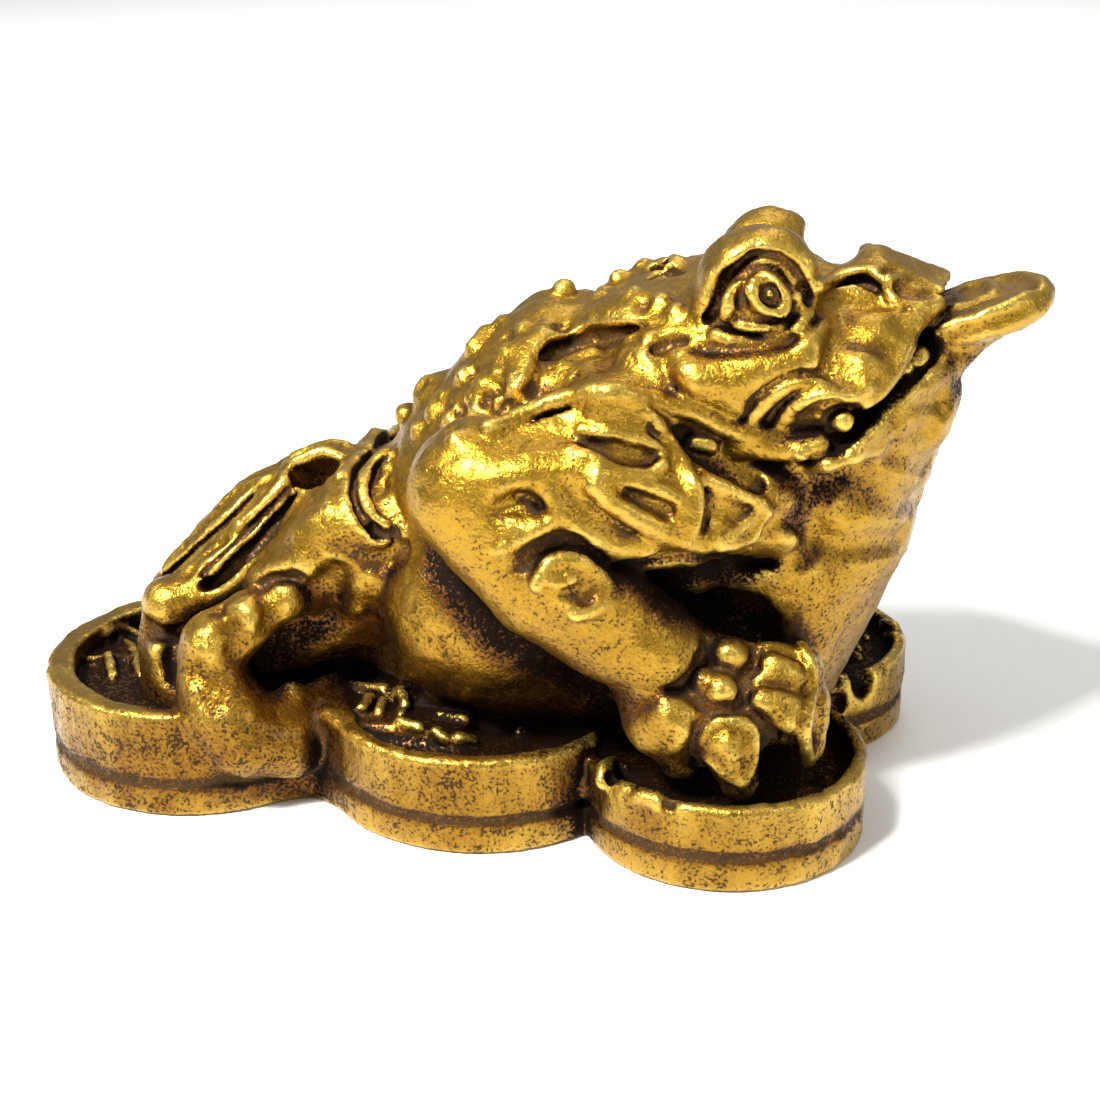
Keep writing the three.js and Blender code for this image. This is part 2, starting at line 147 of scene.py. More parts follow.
class ToadColours(bpy.types.PropertyGroup):
    """Colours of the finish and of the studio."""
    # Rubbed gold: wear on the edges and crests, partly a painted highlight there
    rubbed: colour_property("Rubbed gold", "Brass rubbed bright on the edges and crests", "#DCBA58")
    gold: colour_property("Gold", "Toned gold of the open surface", "#AB8326")
    # Deep gold: darker towards the table, in random tone, and as painted shade in sheltered places
    shade: colour_property("Deep gold", "Darker brass on the lower ground", "#6B410D")
    # Patina: dark stain in the recesses, and also the near-black painted shade in sheltered places
    patina_and_shade: colour_property("Patina", "Dark stain that fills every recess", "#160A03")
    dust: colour_property("Dust", "Grey-brown dust in the wider grooves", "#48361F")
    paper: colour_property("Paper", "Pale floor of the studio", "#FAFAF8")


# Forms: each has a distance function over many points, and a ball that holds all of it


class Form:
    """A solid shape given by its distance function."""

    def __init__(self, distance, centre, reach):
        self.distance = distance
        self.centre = np.array(centre, np.float32)
        self.reach = float(reach)


def lifted_axes(pitch):
    """Rows: the x, y and z axes with the nose lifted by the pitch in degrees."""
    c, s = math.cos(math.radians(pitch)), math.sin(math.radians(pitch))
    return np.array([[c, 0, s], [0, 1, 0], [-s, 0, c]], np.float32)


def egg(x, y, z, rx, ry, rz, pitch=0):
    """A ball stretched to three radii."""
    axes = lifted_axes(pitch)
    radii = np.array([rx, ry, rz], np.float32)
    centre = np.array([x, y, z], np.float32)

    def distance(points):
        q = (points - centre) @ axes.T / radii
        inner = np.sqrt((q * q).sum(1))
        slope = np.sqrt(((q / radii) ** 2).sum(1))
        return inner * (inner - 1) / np.maximum(slope, 1e-6)

    return Form(distance, centre, max(rx, ry, rz))


def limb(*balls):
    """A run of balls (x, y, z, radius) joined by cones."""
    run = np.array(balls, np.float32)
    centre = (run[:, :3].min(0) + run[:, :3].max(0)) / 2
    reach = (np.linalg.norm(run[:, :3] - centre, axis=1) + run[:, 3]).max()

    def distance(points):
        best = np.full(len(points), 1e3, np.float32)
        for start, end in zip(run[:-1], run[1:]):
            edge = end[:3] - start[:3]
            t = np.clip((points - start[:3]) @ edge / (edge @ edge), 0, 1)
            gap = points - start[:3] - t[:, None] * edge
            thick = start[3] + t * (end[3] - start[3])
            np.minimum(best, np.sqrt((gap * gap).sum(1)) - thick, out=best)
        return best

    return Form(distance, centre, reach)


def smooth_run(stations, steps=3):
    """Stations on a smooth curve through the given ones, each of any number of values."""
    p = np.array(stations, float)
    p = np.vstack([2 * p[0] - p[1], p, 2 * p[-1] - p[-2]])
    out = []
    for a, b, c, d in zip(p, p[1:], p[2:], p[3:]):
        for t in np.arange(steps) / steps:
            out.append(0.5 * (2 * b + (c - a) * t + (2 * a - 5 * b + 4 * c - d) * t ** 2
                              + (3 * b - a - 3 * c + d) * t ** 3))
    out.append(p[-2])
    return np.array(out)


def ridge(radius, points):
    """A round ridge along a smooth curve. The radius is one number, or one for each point."""
    radii = np.broadcast_to(np.asarray(radius, float), len(points))
    return limb(*smooth_run([(*p, r) for p, r in zip(points, radii)]))


def widened(form, factor):
    """The same form stretched sideways about the middle plane."""
    stretch = np.array([1, factor, 1], np.float32)

    def distance(points):
        return form.distance(points / stretch)

    return Form(distance, form.centre * stretch, form.reach * factor)


def disc(x, y, z, radius, thickness, soft, pitch=0):
    """A round disc with softened edges, its axis upright or tipped by the pitch."""
    axes = lifted_axes(pitch)
    centre = np.array([x, y, z], np.float32)

    def distance(points):
        q = (points - centre) @ axes.T
        r = np.hypot(q[:, 0], q[:, 1]) - radius + soft
        h = np.abs(q[:, 2]) - thickness / 2 + soft
        return np.hypot(np.maximum(r, 0), np.maximum(h, 0)) + np.minimum(np.maximum(r, h), 0) - soft

    return Form(distance, centre, math.hypot(radius, thickness / 2))


def hoop(x, y, z, radius, thickness):
    """A ring that lies flat."""
    def distance(points):
        return np.hypot(np.hypot(points[:, 0] - x, points[:, 1] - y) - radius, points[:, 2] - z) - thickness

    return Form(distance, (x, y, z), radius + thickness)


def wall(start, end, width, height, soft=0.3):
    """An upright softened wall on the table between two places in plan."""
    a, b = np.array(start, np.float32), np.array(end, np.float32)
    along = (b - a) / np.linalg.norm(b - a)
    across = np.array([-along[1], along[0]])
    half = np.array([np.linalg.norm(b - a), width, height], np.float32) / 2 - soft
    centre = np.array([*(a + b) / 2, height / 2], np.float32)

    def distance(points):
        q = points - centre
        local = np.stack([q[:, :2] @ along, q[:, :2] @ across, q[:, 2]], 1)
        gap = np.abs(local) - half
        return np.sqrt((np.maximum(gap, 0) ** 2).sum(1)) + np.minimum(gap.max(1), 0) - soft

    return Form(distance, centre, np.linalg.norm(half) + 2 * soft)


# Sides of the figure that a step works on


def as_given(points):
    return points


def both_sides(points):
    return np.stack([points[:, 0], -np.abs(points[:, 1]), points[:, 2]], 1)


def far_side(points):
    return points * np.array([1, -1, 1], np.float32)


def far_arm(points):
    return far_side(points) + np.array([0, 0, FAR_SINK], np.float32)


def far_hand(points):
    return far_side(points) - np.array([FAR_REACH, 0, 0], np.float32)


SIDES = (as_given, both_sides, far_side, far_arm, far_hand)


class Clay:
    """A form built up by adding and cutting others, each with a fillet about as wide as the blend."""

    def __init__(self):
        self.steps = []
        self.centres = np.empty((0, 3), np.float32)
        self.reaches = np.empty(0, np.float32)
        self.sides = []

    def take(self, form, blend, side, sign):
        self.steps.append((form, blend, side, sign))
        self.centres = np.vstack([self.centres, form.centre])
        self.reaches = np.append(self.reaches, form.reach)
        self.sides.append(SIDES.index(side))

    def add(self, form, blend, side=as_given):
        self.take(form, blend, side, 1)

    def cut(self, form, blend, side=as_given):
        self.take(form, blend, side, -1)

    def distance(self, points):
        """Distance to the clay at each point, negative inside."""
        points = np.ascontiguousarray(points, np.float32)
        middle = (points.min(0) + points.max(0))[None] / 2
        spread = np.sqrt(((points - middle) ** 2).sum(1).max())
        middles = np.concatenate([side(middle) for side in SIDES])[self.sides]
        gaps = np.sqrt(((middles - self.centres) ** 2).sum(1)) - self.reaches - spread
        views = {}
        d = np.full(len(points), 1e3, np.float32)
        least = most = 1e3
        for (form, blend, side, sign), gap in zip(self.steps, gaps.tolist()):
            if gap > (most if sign > 0 else -least) + blend:
                continue
            if side not in views:
                views[side] = side(points)
            view = views[side]
            away = np.sqrt(((view - form.centre) ** 2).sum(1)) - form.reach
            near = np.flatnonzero(away < sign * d + blend)
            if len(near):
                d[near] = sign * soft_least(sign * d[near], form.distance(view[near]), blend)
                least, most = float(d.min()), float(d.max())
        return d


def soft_least(a, b, blend):
    """The lesser of two distances, rounded where they are within the blend of each other."""
    h = np.maximum(blend - np.abs(a - b), 0) / blend
    return np.minimum(a, b) - h * h * blend / 4


# Working the surface where the photograph shows a feature


def sight_lines(pixels):
    """The camera's place, and the way through each pixel of the photograph."""
    eye = np.array(CAMERA_AT)
    ahead = np.array(CAMERA_AIM) - eye
    ahead /= np.linalg.norm(ahead)
    right = np.cross(ahead, (0, 0, 1))
    right /= np.linalg.norm(right)
    up = np.cross(right, ahead)
    across, down = (np.array(pixels, float) - PHOTO_SIDE / 2).T / PHOTO_FOCAL
    ways = ahead + across[:, None] * right - down[:, None] * up
    return eye, ways / np.linalg.norm(ways, axis=1)[:, None]


def seen(u, v, y):
    """The place under a pixel of the photograph that is y to the side of the middle plane."""
    eye, ways = sight_lines([(u, v)])
    return eye + ways[0] * (y - eye[1]) / ways[0][1]


def ball(u, v, y, radius):
    return (*seen(u, v, y), radius)


def seen_limb(*balls):
    """A limb whose balls are placed by pixel: (u, v, y, radius)."""
    return limb(*(ball(*each) for each in balls))


def outward(clay, points):
    """The way straight out of the clay at each point."""
    steps = 0.25 * np.concatenate([np.eye(3), -np.eye(3)])
    d = clay.distance((points[:, None] + steps).reshape(-1, 3)).reshape(-1, 6)
    ways = d[:, :3] - d[:, 3:]
    return ways / np.maximum(np.linalg.norm(ways, axis=1), 1e-6)[:, None]


def touched(clay, pixels):
    """Where the sight line of each pixel meets the clay or passes closest to it."""
    eye, ways = sight_lines(pixels)
    travel = np.full(len(pixels), float(SIGHT_RANGE[0]))
    best = np.full(len(pixels), 1e3)
    found = travel.copy()
    while ((best > 0.01) & (travel < SIGHT_RANGE[1])).any():
        d = clay.distance(eye + ways * travel[:, None])
        closer = np.abs(d) < best
        best[closer] = np.abs(d)[closer]
        found[closer] = travel[closer]
        travel += np.maximum(0.85 * d, 0.004)
    points = eye + ways * found[:, None]
    out = outward(clay, points)
    return points - out * clay.distance(points)[:, None], out


def work(clay, radius, rise, *pixels, side=both_sides, copy=None, blend=0.4):
    """A line worked along the surface: a ridge that stands up by rise, or a groove where rise is negative.

    The copy is a second side that gets the same line."""
    points, out = touched(clay, pixels)
    radii = np.broadcast_to(np.asarray(radius, float), len(pixels))
    # A line that rises or sinks by more than its radius is worked in several passes
    levels = max(1, math.ceil(abs(rise) / radii.max()))
    for level in range(levels):
        part = rise - math.copysign(1, rise) * radii
        if levels > 1:
            part = part * level / (levels - 1)
        centres = points + out * part[:, None]
        if side is both_sides:
            centres[:, 1] = -np.abs(centres[:, 1])
        form = ridge(radii, centres) if len(pixels) > 1 else egg(*centres[0], *[radii[0]] * 3)
        (clay.add if rise > 0 else clay.cut)(form, blend, side)
        if copy:
            (clay.add if rise > 0 else clay.cut)(form, blend, copy)


def work_lines(clay, *lines, side=both_sides, copy=None):
    """Lines worked one after the other, each given as its radius, rise, blend and pixels."""
    for radius, rise, blend, *pixels in lines:
        work(clay, radius, rise, *pixels, side=side, copy=copy, blend=blend)


def moved(pixels, across, down):
    """The same line of pixels moved over the photograph."""
    return [(u + across, v + down) for u, v in pixels]


# Body


def model_trunk(clay):
    clay.add(widened(seen_limb((503, 490, 0, 9.2), (566, 429, 0, 9.7), (655, 432, 0, 11.2)), 1.2), 1.5)
    clay.add(egg(-3.5, -6.5, 15.8, 8.4, 7.5, 7.6, 12), 2, both_sides)
    clay.add(egg(0, 0, 9, 15, 9.5, 6), 3)
    clay.add(egg(*seen(438, 397, 0), 1.9, 2.2, 1.9), 0.8)
    clay.add(egg(*seen(407, 414, 1), 1.0, 1.2, 1.0), 0.6)
    clay.add(widened(limb((20.2, 0, 31.2, 9.6), (17.6, 0, 22, 10.1), (14.5, 0, 11.5, 9)), 1.08), 2)


def work_back(clay):
    """Warts along the crest, the heavy fold behind the eye and the ragged hollow under it."""
    work_lines(
        clay,
        (2.6, 0.8, 1.5, (545, 312)),
        (2.2, 0.7, 1.5, (612, 311), (636, 308)),
        ((1.6, 2.0, 1.6), 0.8, 1.2, (522, 384), (526, 362), (542, 340)),
    )
    work_lines(
        clay,
        (0.9, 0.9, 0.4, (564, 291)),
        (0.8, 0.6, 0.4, (617, 277)),
        (0.9, 0.3, 0.4, (585, 292)),
        (0.9, 0.5, 0.4, (502, 322)),
        (0.8, 0.7, 0.4, (486, 334), (475, 348)),
        ((1.1, 1.5, 1.1), 0.7, 0.8, (656, 268), (665, 265), (673, 265)),
        side=as_given,
    )
    work(clay, 0.4, -0.6, (655, 275), (666, 270), (679, 273))
    lumps = ((523, 328, 1.0), (505, 352, 1.2), (483, 386, 1.4), (440, 398, 1.2), (432, 412, 0.9),
             (462, 375, 0.9), (515, 380, 0.8), (450, 418, 0.9), (478, 408, 0.9), (496, 372, 0.7),
             (470, 398, 0.7), (600, 296, 0.8), (418, 428, 0.8), (500, 400, 0.7), (632, 292, 0.8),
             (660, 300, 0.9), (676, 312, 1.0))
    for u, v, radius in lumps:
        work(clay, radius, 0.5, (u, v))
    work(clay, 0.8, 0.5, (455, 438), side=as_given)
    pits = ((508, 338), (472, 372), (500, 388), (446, 408), (420, 384), (486, 402), (460, 410), (512, 376),
            (530, 388), (505, 404), (612, 341), (560, 351), (584, 347), (452, 428), (640, 304), (560, 326))
    for pit in pits:
        work(clay, 0.6, -0.4, pit, blend=0.5)
    work_lines(
        clay,
        ((0.4, 0.5, 0.75, 0.7, 0.5, 0.3), -1.3, 0.4, (549, 351), (565, 344), (582, 335), (600, 334),
         (620, 329), (642, 325)),
        ((0.6, 0.8, 0.6), -0.5, 0.6, (545, 360), (541, 376), (537, 392)),
        ((0.9, 1.2, 0.9), -0.4, 0.7, (564, 354), (584, 352), (606, 346)),
        (0.6, 0.3, 0.5, (562, 362), (575, 358), (592, 352)),
        (1.2, 0.5, 0.6, (580, 380), (596, 372)),
        (0.35, -0.5, 0.2, (575, 377)),
        (0.8, -0.4, 0.8, (604, 356), (607, 372), (606, 388)),
        ((1.0, 1.7, 1.4), 0.6, 0.5, (634, 362), (640, 374), (646, 388)),
        (0.45, 0.3, 0.4, (618, 372), (628, 350), (644, 356), (658, 374), (664, 392)),
        (0.6, 0.4, 0.4, (649, 338), (650, 350)),
        ((0.4, 0.6, 0.4), -0.6, 0.5, (656, 348), (668, 344), (682, 341)),
        (1.0, 0.4, 0.8, (692, 384), (680, 366)),
    )


def work_throat(clay):
    """Wide soft creases across the throat pouch."""
    work_lines(
        clay,
        (1.6, 0.5, 1.5, (952, 384), (950, 400), (944, 420)),
        (1.2, -0.35, 1, (836, 471), (856, 480), (878, 494), (900, 503), (924, 502)),
        (1.0, -0.35, 1, (824, 536), (845, 547), (872, 545), (902, 538)),
        (1.0, -0.2, 0.8, (895, 452), (912, 458), (928, 464)),
        (1.1, -0.25, 0.8, (822, 486), (812, 506), (816, 530), (828, 552), (834, 574)),
        (0.9, -0.25, 0.8, (885, 418), (900, 422), (915, 410), (940, 402)),
        (0.9, -0.2, 0.8, (870, 448), (884, 440), (900, 436), (926, 432)),
    )


def work_flank(clay):
    """Three overlapping crescent plates behind the elbow."""
    work(clay, 2.2, 0.8, (378, 474), (370, 492), (382, 514), side=as_given, blend=1.2)
    plates = (
        (0.8, ((346, 468), (337, 480), (332, 494), (335, 511), (346, 526))),
        (0.7, ((364, 455), (351, 470), (345, 487), (346, 503), (353, 518), (365, 531), (384, 540))),
        (0.7, ((386, 453), (372, 466), (365, 482), (365, 497), (372, 511), (385, 522), (403, 531))),
    )
    for radius, plate in plates:
        work(clay, radius, 0.55, *plate, blend=0.25)
    for radius, plate in plates[1:]:
        work(clay, 0.25, -0.35, *moved(plate[:-1], 9, -1), blend=0.2)
    for u, v in ((388, 468), (392, 484), (390, 500), (396, 514)):
        work(clay, 0.7, 0.3, (u, v), blend=0.3)
    work_lines(
        clay,
        (0.8, -0.6, 0.8, (330, 541), (350, 555), (378, 561), (402, 553)),
        (0.45, -0.6, 0.3, (374, 529), (384, 535), (394, 534)),
    )


# Head


def model_head(clay):
    upper_lip = [(28.6, 0, 38.7), (27.3, -3.5, 38.5), (25.7, -5.2, 37.8), (24.6, -7.2, 36.1),
                 (23.4, -9, 34.6), (22, -10.5, 33.9), (20.2, -11.4, 33.8)]
    lower_lip = [(30.3, 0, 35.4), (28.8, -3, 34.9), (26, -7, 32.4), (24.2, -9.2, 30.7), (22.3, -11, 29.6)]
    clay.add(egg(12, 0, 32.6, 12, 11.8, 7.8, 14), 1.5)
    clay.add(egg(15.5, -5, 34.6, 9, 7.2, 4.8), 2, both_sides)
    snout = seen_limb((757, 316, 0, 4.2), (835, 322, 0, 3.1), (874, 284, 0, 2.7), (902, 289, 0, 2.3),
                      (930, 297, 0, 1.7))
    clay.add(widened(snout, 1.8), 1.0)
    clay.add(ridge(1, upper_lip), 2, both_sides)
    clay.add(ridge(0.9, lower_lip), 1.5, both_sides)
    clay.cut(limb((29.5, 0, 37.3, 1.3), (26, -6.6, 34.3, 0.9), (22.4, -11.4, 31.4, 1.0)), 0.4, both_sides)
    clay.cut(limb((22, 0, 36, 2), (30, 0, 37.3, 1.6)), 0.6, both_sides)
    clay.cut(limb((20, -4, 34, 1.6), (27, -4.5, 35.8, 1.2), (22, -9, 32.4, 1.4)), 0.6, both_sides)


def model_eyes(clay):
    """Brow hoods, with a deep socket in each and an eyeball in the socket."""
    clay.add(egg(15.5, -6.8, 40.1, 4.4, 4, 4.4), 1.2)
    clay.add(egg(15.8, -6.7, 39.1, 3.8, 3.7, 4.1), 0.9, far_side)
    work(clay, (0.9, 1.2, 1.4, 1.5, 1.3, 0.9), 0.4, (700, 314), (710, 290), (727, 264), (751, 244),
         (784, 240), (808, 262), side=as_given, blend=0.8)
    clay.cut(egg(15.5, -11.6, 40, 4.4, 2.7, 3.1, -12), 0.4, both_sides)
    clay.add(egg(15.3, -9, 39.8, 3.0, 1.9, 2.3), 0.4, both_sides)


def work_eyes(clay):
    """Socket round the eye, upper lid, ring of the iris with its pupil, and the beaded lower lid."""
    work_lines(
        clay,
        ((0.4, 0.5, 0.6, 0.6, 0.6, 0.5, 0.45), -0.9, 0.3, (708, 318), (720, 294), (738, 270), (762, 259),
         (786, 265), (802, 284), (812, 300)),
        (0.5, 0.5, 0.3, (728, 314), (730, 298), (738, 281), (750, 269), (765, 264), (780, 268), (792, 280)),
        (0.35, -0.45, 0.25, (742, 308), (743, 292), (752, 277), (766, 270), (782, 280), (792, 298),
         (790, 312)),
        (0.5, 0.5, 0.2, (758, 304), (752, 292), (756, 280), (765, 275), (777, 285), (786, 300), (780, 312),
         (768, 311), (758, 304)),
        (0.3, -0.45, 0.15, (764, 298), (764, 290), (770, 287), (776, 296), (773, 302), (764, 298)),
        (0.3, 0.25, 0.1, (770, 295)),
        (0.45, 0.35, 0.3, (796, 296)),
        (0.35, -0.3, 0.3, (734, 318), (750, 319), (770, 320), (790, 315)),
        (0.5, 0.5, 0.35, (716, 336), (735, 342), (757, 344), (780, 340), (798, 331)),
    )
    work(clay, 0.5, 0.4, (798, 331), (810, 316), side=as_given, blend=0.35)
    work(clay, 0.4, 0.3, (738, 325), (752, 327), (768, 328), (786, 325), blend=0.3)
    for u, v in ((744, 325), (755, 327), (767, 328), (779, 326)):
        work(clay, 0.38, 0.25, (u, v), blend=0.2)


def work_cheek(clay):
    """Folds that run round under the eye and down to the corner of the mouth."""
    work_lines(
        clay,
        (0.6, -0.45, 0.5, (700, 350), (725, 354), (757, 355), (783, 350), (806, 338), (820, 322)),
        ((1.0, 1.4, 1.5, 1.5, 1.2, 0.9), 0.55, 0.8, (690, 374), (716, 376), (745, 375), (770, 369),
         (794, 358), (812, 346)),
    )
    work(clay, (0.9, 0.6), 0.5, (812, 346), (829, 321), side=as_given, blend=0.8)
    work_lines(
        clay,
        (0.36, -0.36, 0.35, (742, 421), (753, 404), (768, 391), (786, 380), (808, 374), (832, 375)),
        (0.36, -0.36, 0.35, (768, 424), (780, 407), (796, 395), (816, 391), (838, 391)),
        (0.45, 0.35, 0.4, (752, 421), (763, 406), (777, 394), (791, 385), (812, 381), (838, 383)),
        ((0.6, 0.8, 0.8, 0.7, 0.6, 0.5), 0.4, 0.5, (784, 424), (794, 412), (806, 405), (828, 400),
         (848, 397), (866, 390)),
        (0.7, -0.6, 0.4, (806, 417), (820, 411), (836, 408)),
        (0.8, 0.4, 0.5, (734, 408)),
        (1.4, 0.35, 0.8, (700, 391), (720, 396)),
        (1.2, -0.4, 0.8, (838, 306), (838, 328), (836, 350), (840, 372)),
        (0.5, 0.25, 0.4, (813, 365)),
        (0.5, 0.25, 0.4, (836, 356), (838, 374)),
    )


def work_snout(clay):
    """Nostril arches, the ridges of the nose and the lobes of the upper lip."""
    work_lines(
        clay,
        ((0.3, 0.45, 0.6, 0.55, 0.4), -1.0, 0.3, (824, 285), (838, 282), (853, 277), (868, 279),
         (880, 285)),
        (1.1, -0.3, 0.8, (850, 299), (876, 302)),
        (0.45, 0.4, 0.35, (818, 286), (832, 282), (846, 274), (862, 270), (877, 273), (888, 284),
         (893, 298)),
        (0.35, -0.35, 0.3, (884, 271), (900, 273), (916, 279), (936, 286)),
        (0.45, 0.3, 0.4, (890, 280), (904, 278), (922, 284), (944, 292)),
        (0.6, -0.3, 0.5, (900, 289), (916, 292), (932, 294)),
        (0.25, -0.3, 0.2, (909, 308)),
    )
    for u, v, y in ((826, 234, 5), (838, 242, -1)):
        clay.cut(seen_limb((u, v, y, 1.6), (u, v, 14, 1.6)), 0.5)
    work_lines(
        clay,
        (1.8, 0.6, 1, (876, 331)),
        (1.8, 0.6, 1, (864, 360)),
        (0.5, -0.3, 0.6, (852, 344), (868, 346), (884, 350)),
        (0.45, 0.25, 0.5, (940, 302), (925, 312), (912, 328), (904, 348), (898, 368), (888, 386),
         (874, 400), (858, 407)),
    )


def work_mouth(clay):
    """Beads in the mouth and the rolled edge of the lower lip."""
    work(clay, (0.5, 0.6, 0.6, 0.7, 0.7), -0.8, (928, 330), (914, 356), (895, 386), (873, 410), (848, 434),
         blend=0.3)
    clay.cut(egg(*seen(846, 424, -12), 1.7, 1.4, 1.5), 0.4, both_sides)
    beads = (
        ((918, 357, -5.1, 0.8), (24.5, -3.4, 34.6, 1.1)),
        ((906, 367, -6.2, 0.5), (24.2, -4.4, 34, 0.9)),
        ((844, 422, -11.3, 0.75), (20.6, -9.4, 31.9, 1.2)),
    )
    for bead, stem in beads:
        clay.add(limb(ball(*bead), stem), 0.2, both_sides)
    work(clay, 0.3, -0.25, (918, 357), blend=0.15)
    lip = ((958, 352, -1), (943, 361, -3), (928, 371, -4.5), (913, 382, -6), (899, 396, -7.4),
           (887, 411, -8.5), (873, 430, -9.8), (859, 445, -10.8), (845, 457, -11.4), (826, 465, -11.8))
    clay.add(ridge(0.6, [seen(*place) for place in lip]), 0.5, both_sides)
    work(clay, 0.45, 0.35, (828, 465), (808, 466), (790, 460))


def work_jaw(clay):
    """The thin flange that runs back from the mouth's corner over the arm, deeply undercut."""
    edge = ((490, 431), (508, 424), (530, 412), (554, 402), (578, 396), (604, 393), (632, 397), (658, 403),
            (682, 408), (704, 415), (722, 425), (744, 431), (780, 434), (818, 435))
    work_lines(
        clay,
        ((0.6, 1.0, 1.3, 1.3, 1.1, 0.5), -1.3, 0.6, (682, 432), (698, 444), (717, 457), (736, 468),
         (750, 477), (764, 484)),
        ((0.28, 0.32, 0.4, 0.5, 0.45), -0.95, 0.2, (514, 425), (528, 419), (544, 412), (558, 406),
         (569, 403)),
        (0.6, 0.8, 0.4, *edge),
    )
    under = ((736, 444, -11.2), (760, 447, -11.3), (788, 449, -11.3), (818, 444, -11.2))
    clay.add(ridge(0.85, [seen(*place) for place in under]), 0.5, both_sides)
    work_lines(
        clay,
        (0.8, 0.8, 0.3, (696, 441), (708, 443)),
        (0.5, 0.4, 0.4, (800, 456)),
    )


# Arms


def model_arm(clay, side, reach, sink):
    """Upper arm, forearm, wrist and paw: the hand carried forward by reach, the elbow let down by sink."""
    clay.add(limb((-2.6, -14, 27.4 - sink, 4.8), (5, -13.6, 26.6 - sink, 4.9), (11, -11.8, 26 - sink, 4.6),
                  (16, -9.8, 25.3 - sink, 3.4)), 0.8, side)
    clay.add(limb((-3, -14.4, 26.8 - sink, 4.9), (2, -15, 21.2 - sink, 4.6), (7.2 + reach, -14, 16.9, 4.0),
                  (9.6 + reach, -13.4, 15.2, 3.6)), 0.8, side)
    clay.add(limb((10 + reach, -13, 14, 3.2), (14.6 + reach, -12, 12.4, 4.0),
                  (17.4 + reach, -10.4, 11.8, 3.6)), 1, side)
    toes = (
        ((9.6, -13.8, 13.2, 3.3), (10.5, -15.3, 11.0, 3.1), (11.6, -15.6, 8.0, 1.6)),
        ((13.9, -14.4, 12.2, 2.9), (14.9, -15.8, 10.0, 2.7), (15.8, -16.6, 7.2, 1.5)),
        ((17.4, -13.2, 12.3, 2.7), (18.6, -14.2, 10.9, 2.2), (19.2, -14.8, 9.4, 1.3)),
        ((19.4, -11.4, 13.3, 2.0), (20.4, -12.4, 11.6, 1.5), (20.9, -13.2, 8.0, 0.8)),
    )
    for toe in toes:
        clay.add(limb(*((x + reach, y, z, r) for x, y, z, r in toe)), 0.8, side)


def work_arm(clay):
    """Leaf loops, arcs and hollows carved over the upper arm."""
    shoulder = seen_limb((556, 428, -12.6, 2.2), (606, 420, -12.2, 3.0), (652, 434, -11.2, 2.6))
    for side in (as_given, far_arm):
        clay.add(shoulder, 2, side)
    work_lines(
        clay,
        ((1.2, 1.8, 1.6), 0.5, 1.2, (500, 478), (545, 466), (586, 474)),
        (1.3, 0.5, 0.8, (606, 404), (632, 409), (652, 424)),
        ((0.5, 0.8, 0.9, 0.7), -0.45, 0.5, (592, 446), (612, 452), (636, 457), (652, 459)),
        ((0.6, 0.9, 1.1, 0.9), -0.6, 0.5, (628, 492), (642, 499), (658, 506), (669, 512)),
        ((0.6, 0.9, 0.9, 0.6), -0.5, 0.5, (708, 500), (722, 510), (736, 514), (748, 512)),
        ((0.9, 1.3, 1.3, 1.0), -0.35, 1.0, (568, 492), (582, 506), (600, 521), (620, 534)),
        (0.28, -0.4, 0.3, (664, 426), (680, 446), (694, 468), (704, 492), (707, 516), (701, 538)),
        (0.25, -0.35, 0.2, (650, 428), (662, 446), (674, 465), (682, 486), (686, 506), (683, 524)),
        (0.35, -0.55, 0.3, (592, 498), (612, 515), (634, 531), (656, 541)),
        (0.45, 0.45, 0.35, (636, 404), (653, 418), (670, 440), (684, 462), (694, 484), (698, 506),
         (695, 526), (689, 542)),
        (0.4, 0.35, 0.35, (668, 458), (678, 474), (685, 492), (688, 510), (684, 526)),
        (0.45, 0.45, 0.35, (583, 430), (605, 433), (630, 438), (652, 444), (663, 454), (660, 466)),
        (0.5, 0.45, 0.4, (572, 450), (590, 457), (610, 467), (630, 475), (650, 475), (664, 466)),
        (0.5, 0.4, 0.4, (600, 473), (622, 482), (648, 487), (670, 493), (681, 504), (679, 518)),
        (0.8, 0.45, 0.5, (596, 486), (612, 502), (632, 517), (654, 530), (678, 539), (702, 543),
         (728, 542)),
        (0.45, 0.45, 0.35, (706, 479), (724, 486), (742, 494), (758, 502), (768, 514), (762, 528),
         (745, 540), (722, 547)),
        (0.35, 0.35, 0.3, (718, 540), (736, 530), (750, 519), (757, 512)),
        (1.6, 0.5, 0.8, (790, 540)),
        (0.8, -0.4, 0.8, (772, 528), (782, 522), (800, 524), (812, 540), (806, 560)),
        ((0.8, 1.0, 1.0, 0.7), -0.6, 0.8, (504, 508), (520, 504), (538, 506), (549, 515)),
        ((0.4, 0.5, 0.4), -0.4, 0.4, (520, 497), (534, 500), (546, 508)),
        (1.0, 0.4, 0.6, (516, 530), (540, 524)),
        (0.6, 0.4, 0.5, (500, 550), (524, 538), (546, 526), (558, 514)),
        (0.8, 0.4, 0.6, (552, 496), (562, 512), (580, 528), (602, 540), (626, 548), (648, 551)),
        ((0.6, 0.9, 0.9, 0.7, 0.4), -0.9, 0.6, (616, 568), (650, 562), (700, 561), (742, 562), (770, 564)),
        side=as_given,
        copy=far_arm,
    )
    work_lines(
        clay,
        ((1.0, 1.5, 1.9, 1.8, 1.1), -2.6, 0.8, (690, 608), (708, 612), (730, 617), (750, 622), (768, 634)),
        (1.5, 1.0, 0.8, (672, 579), (692, 577)),
    )


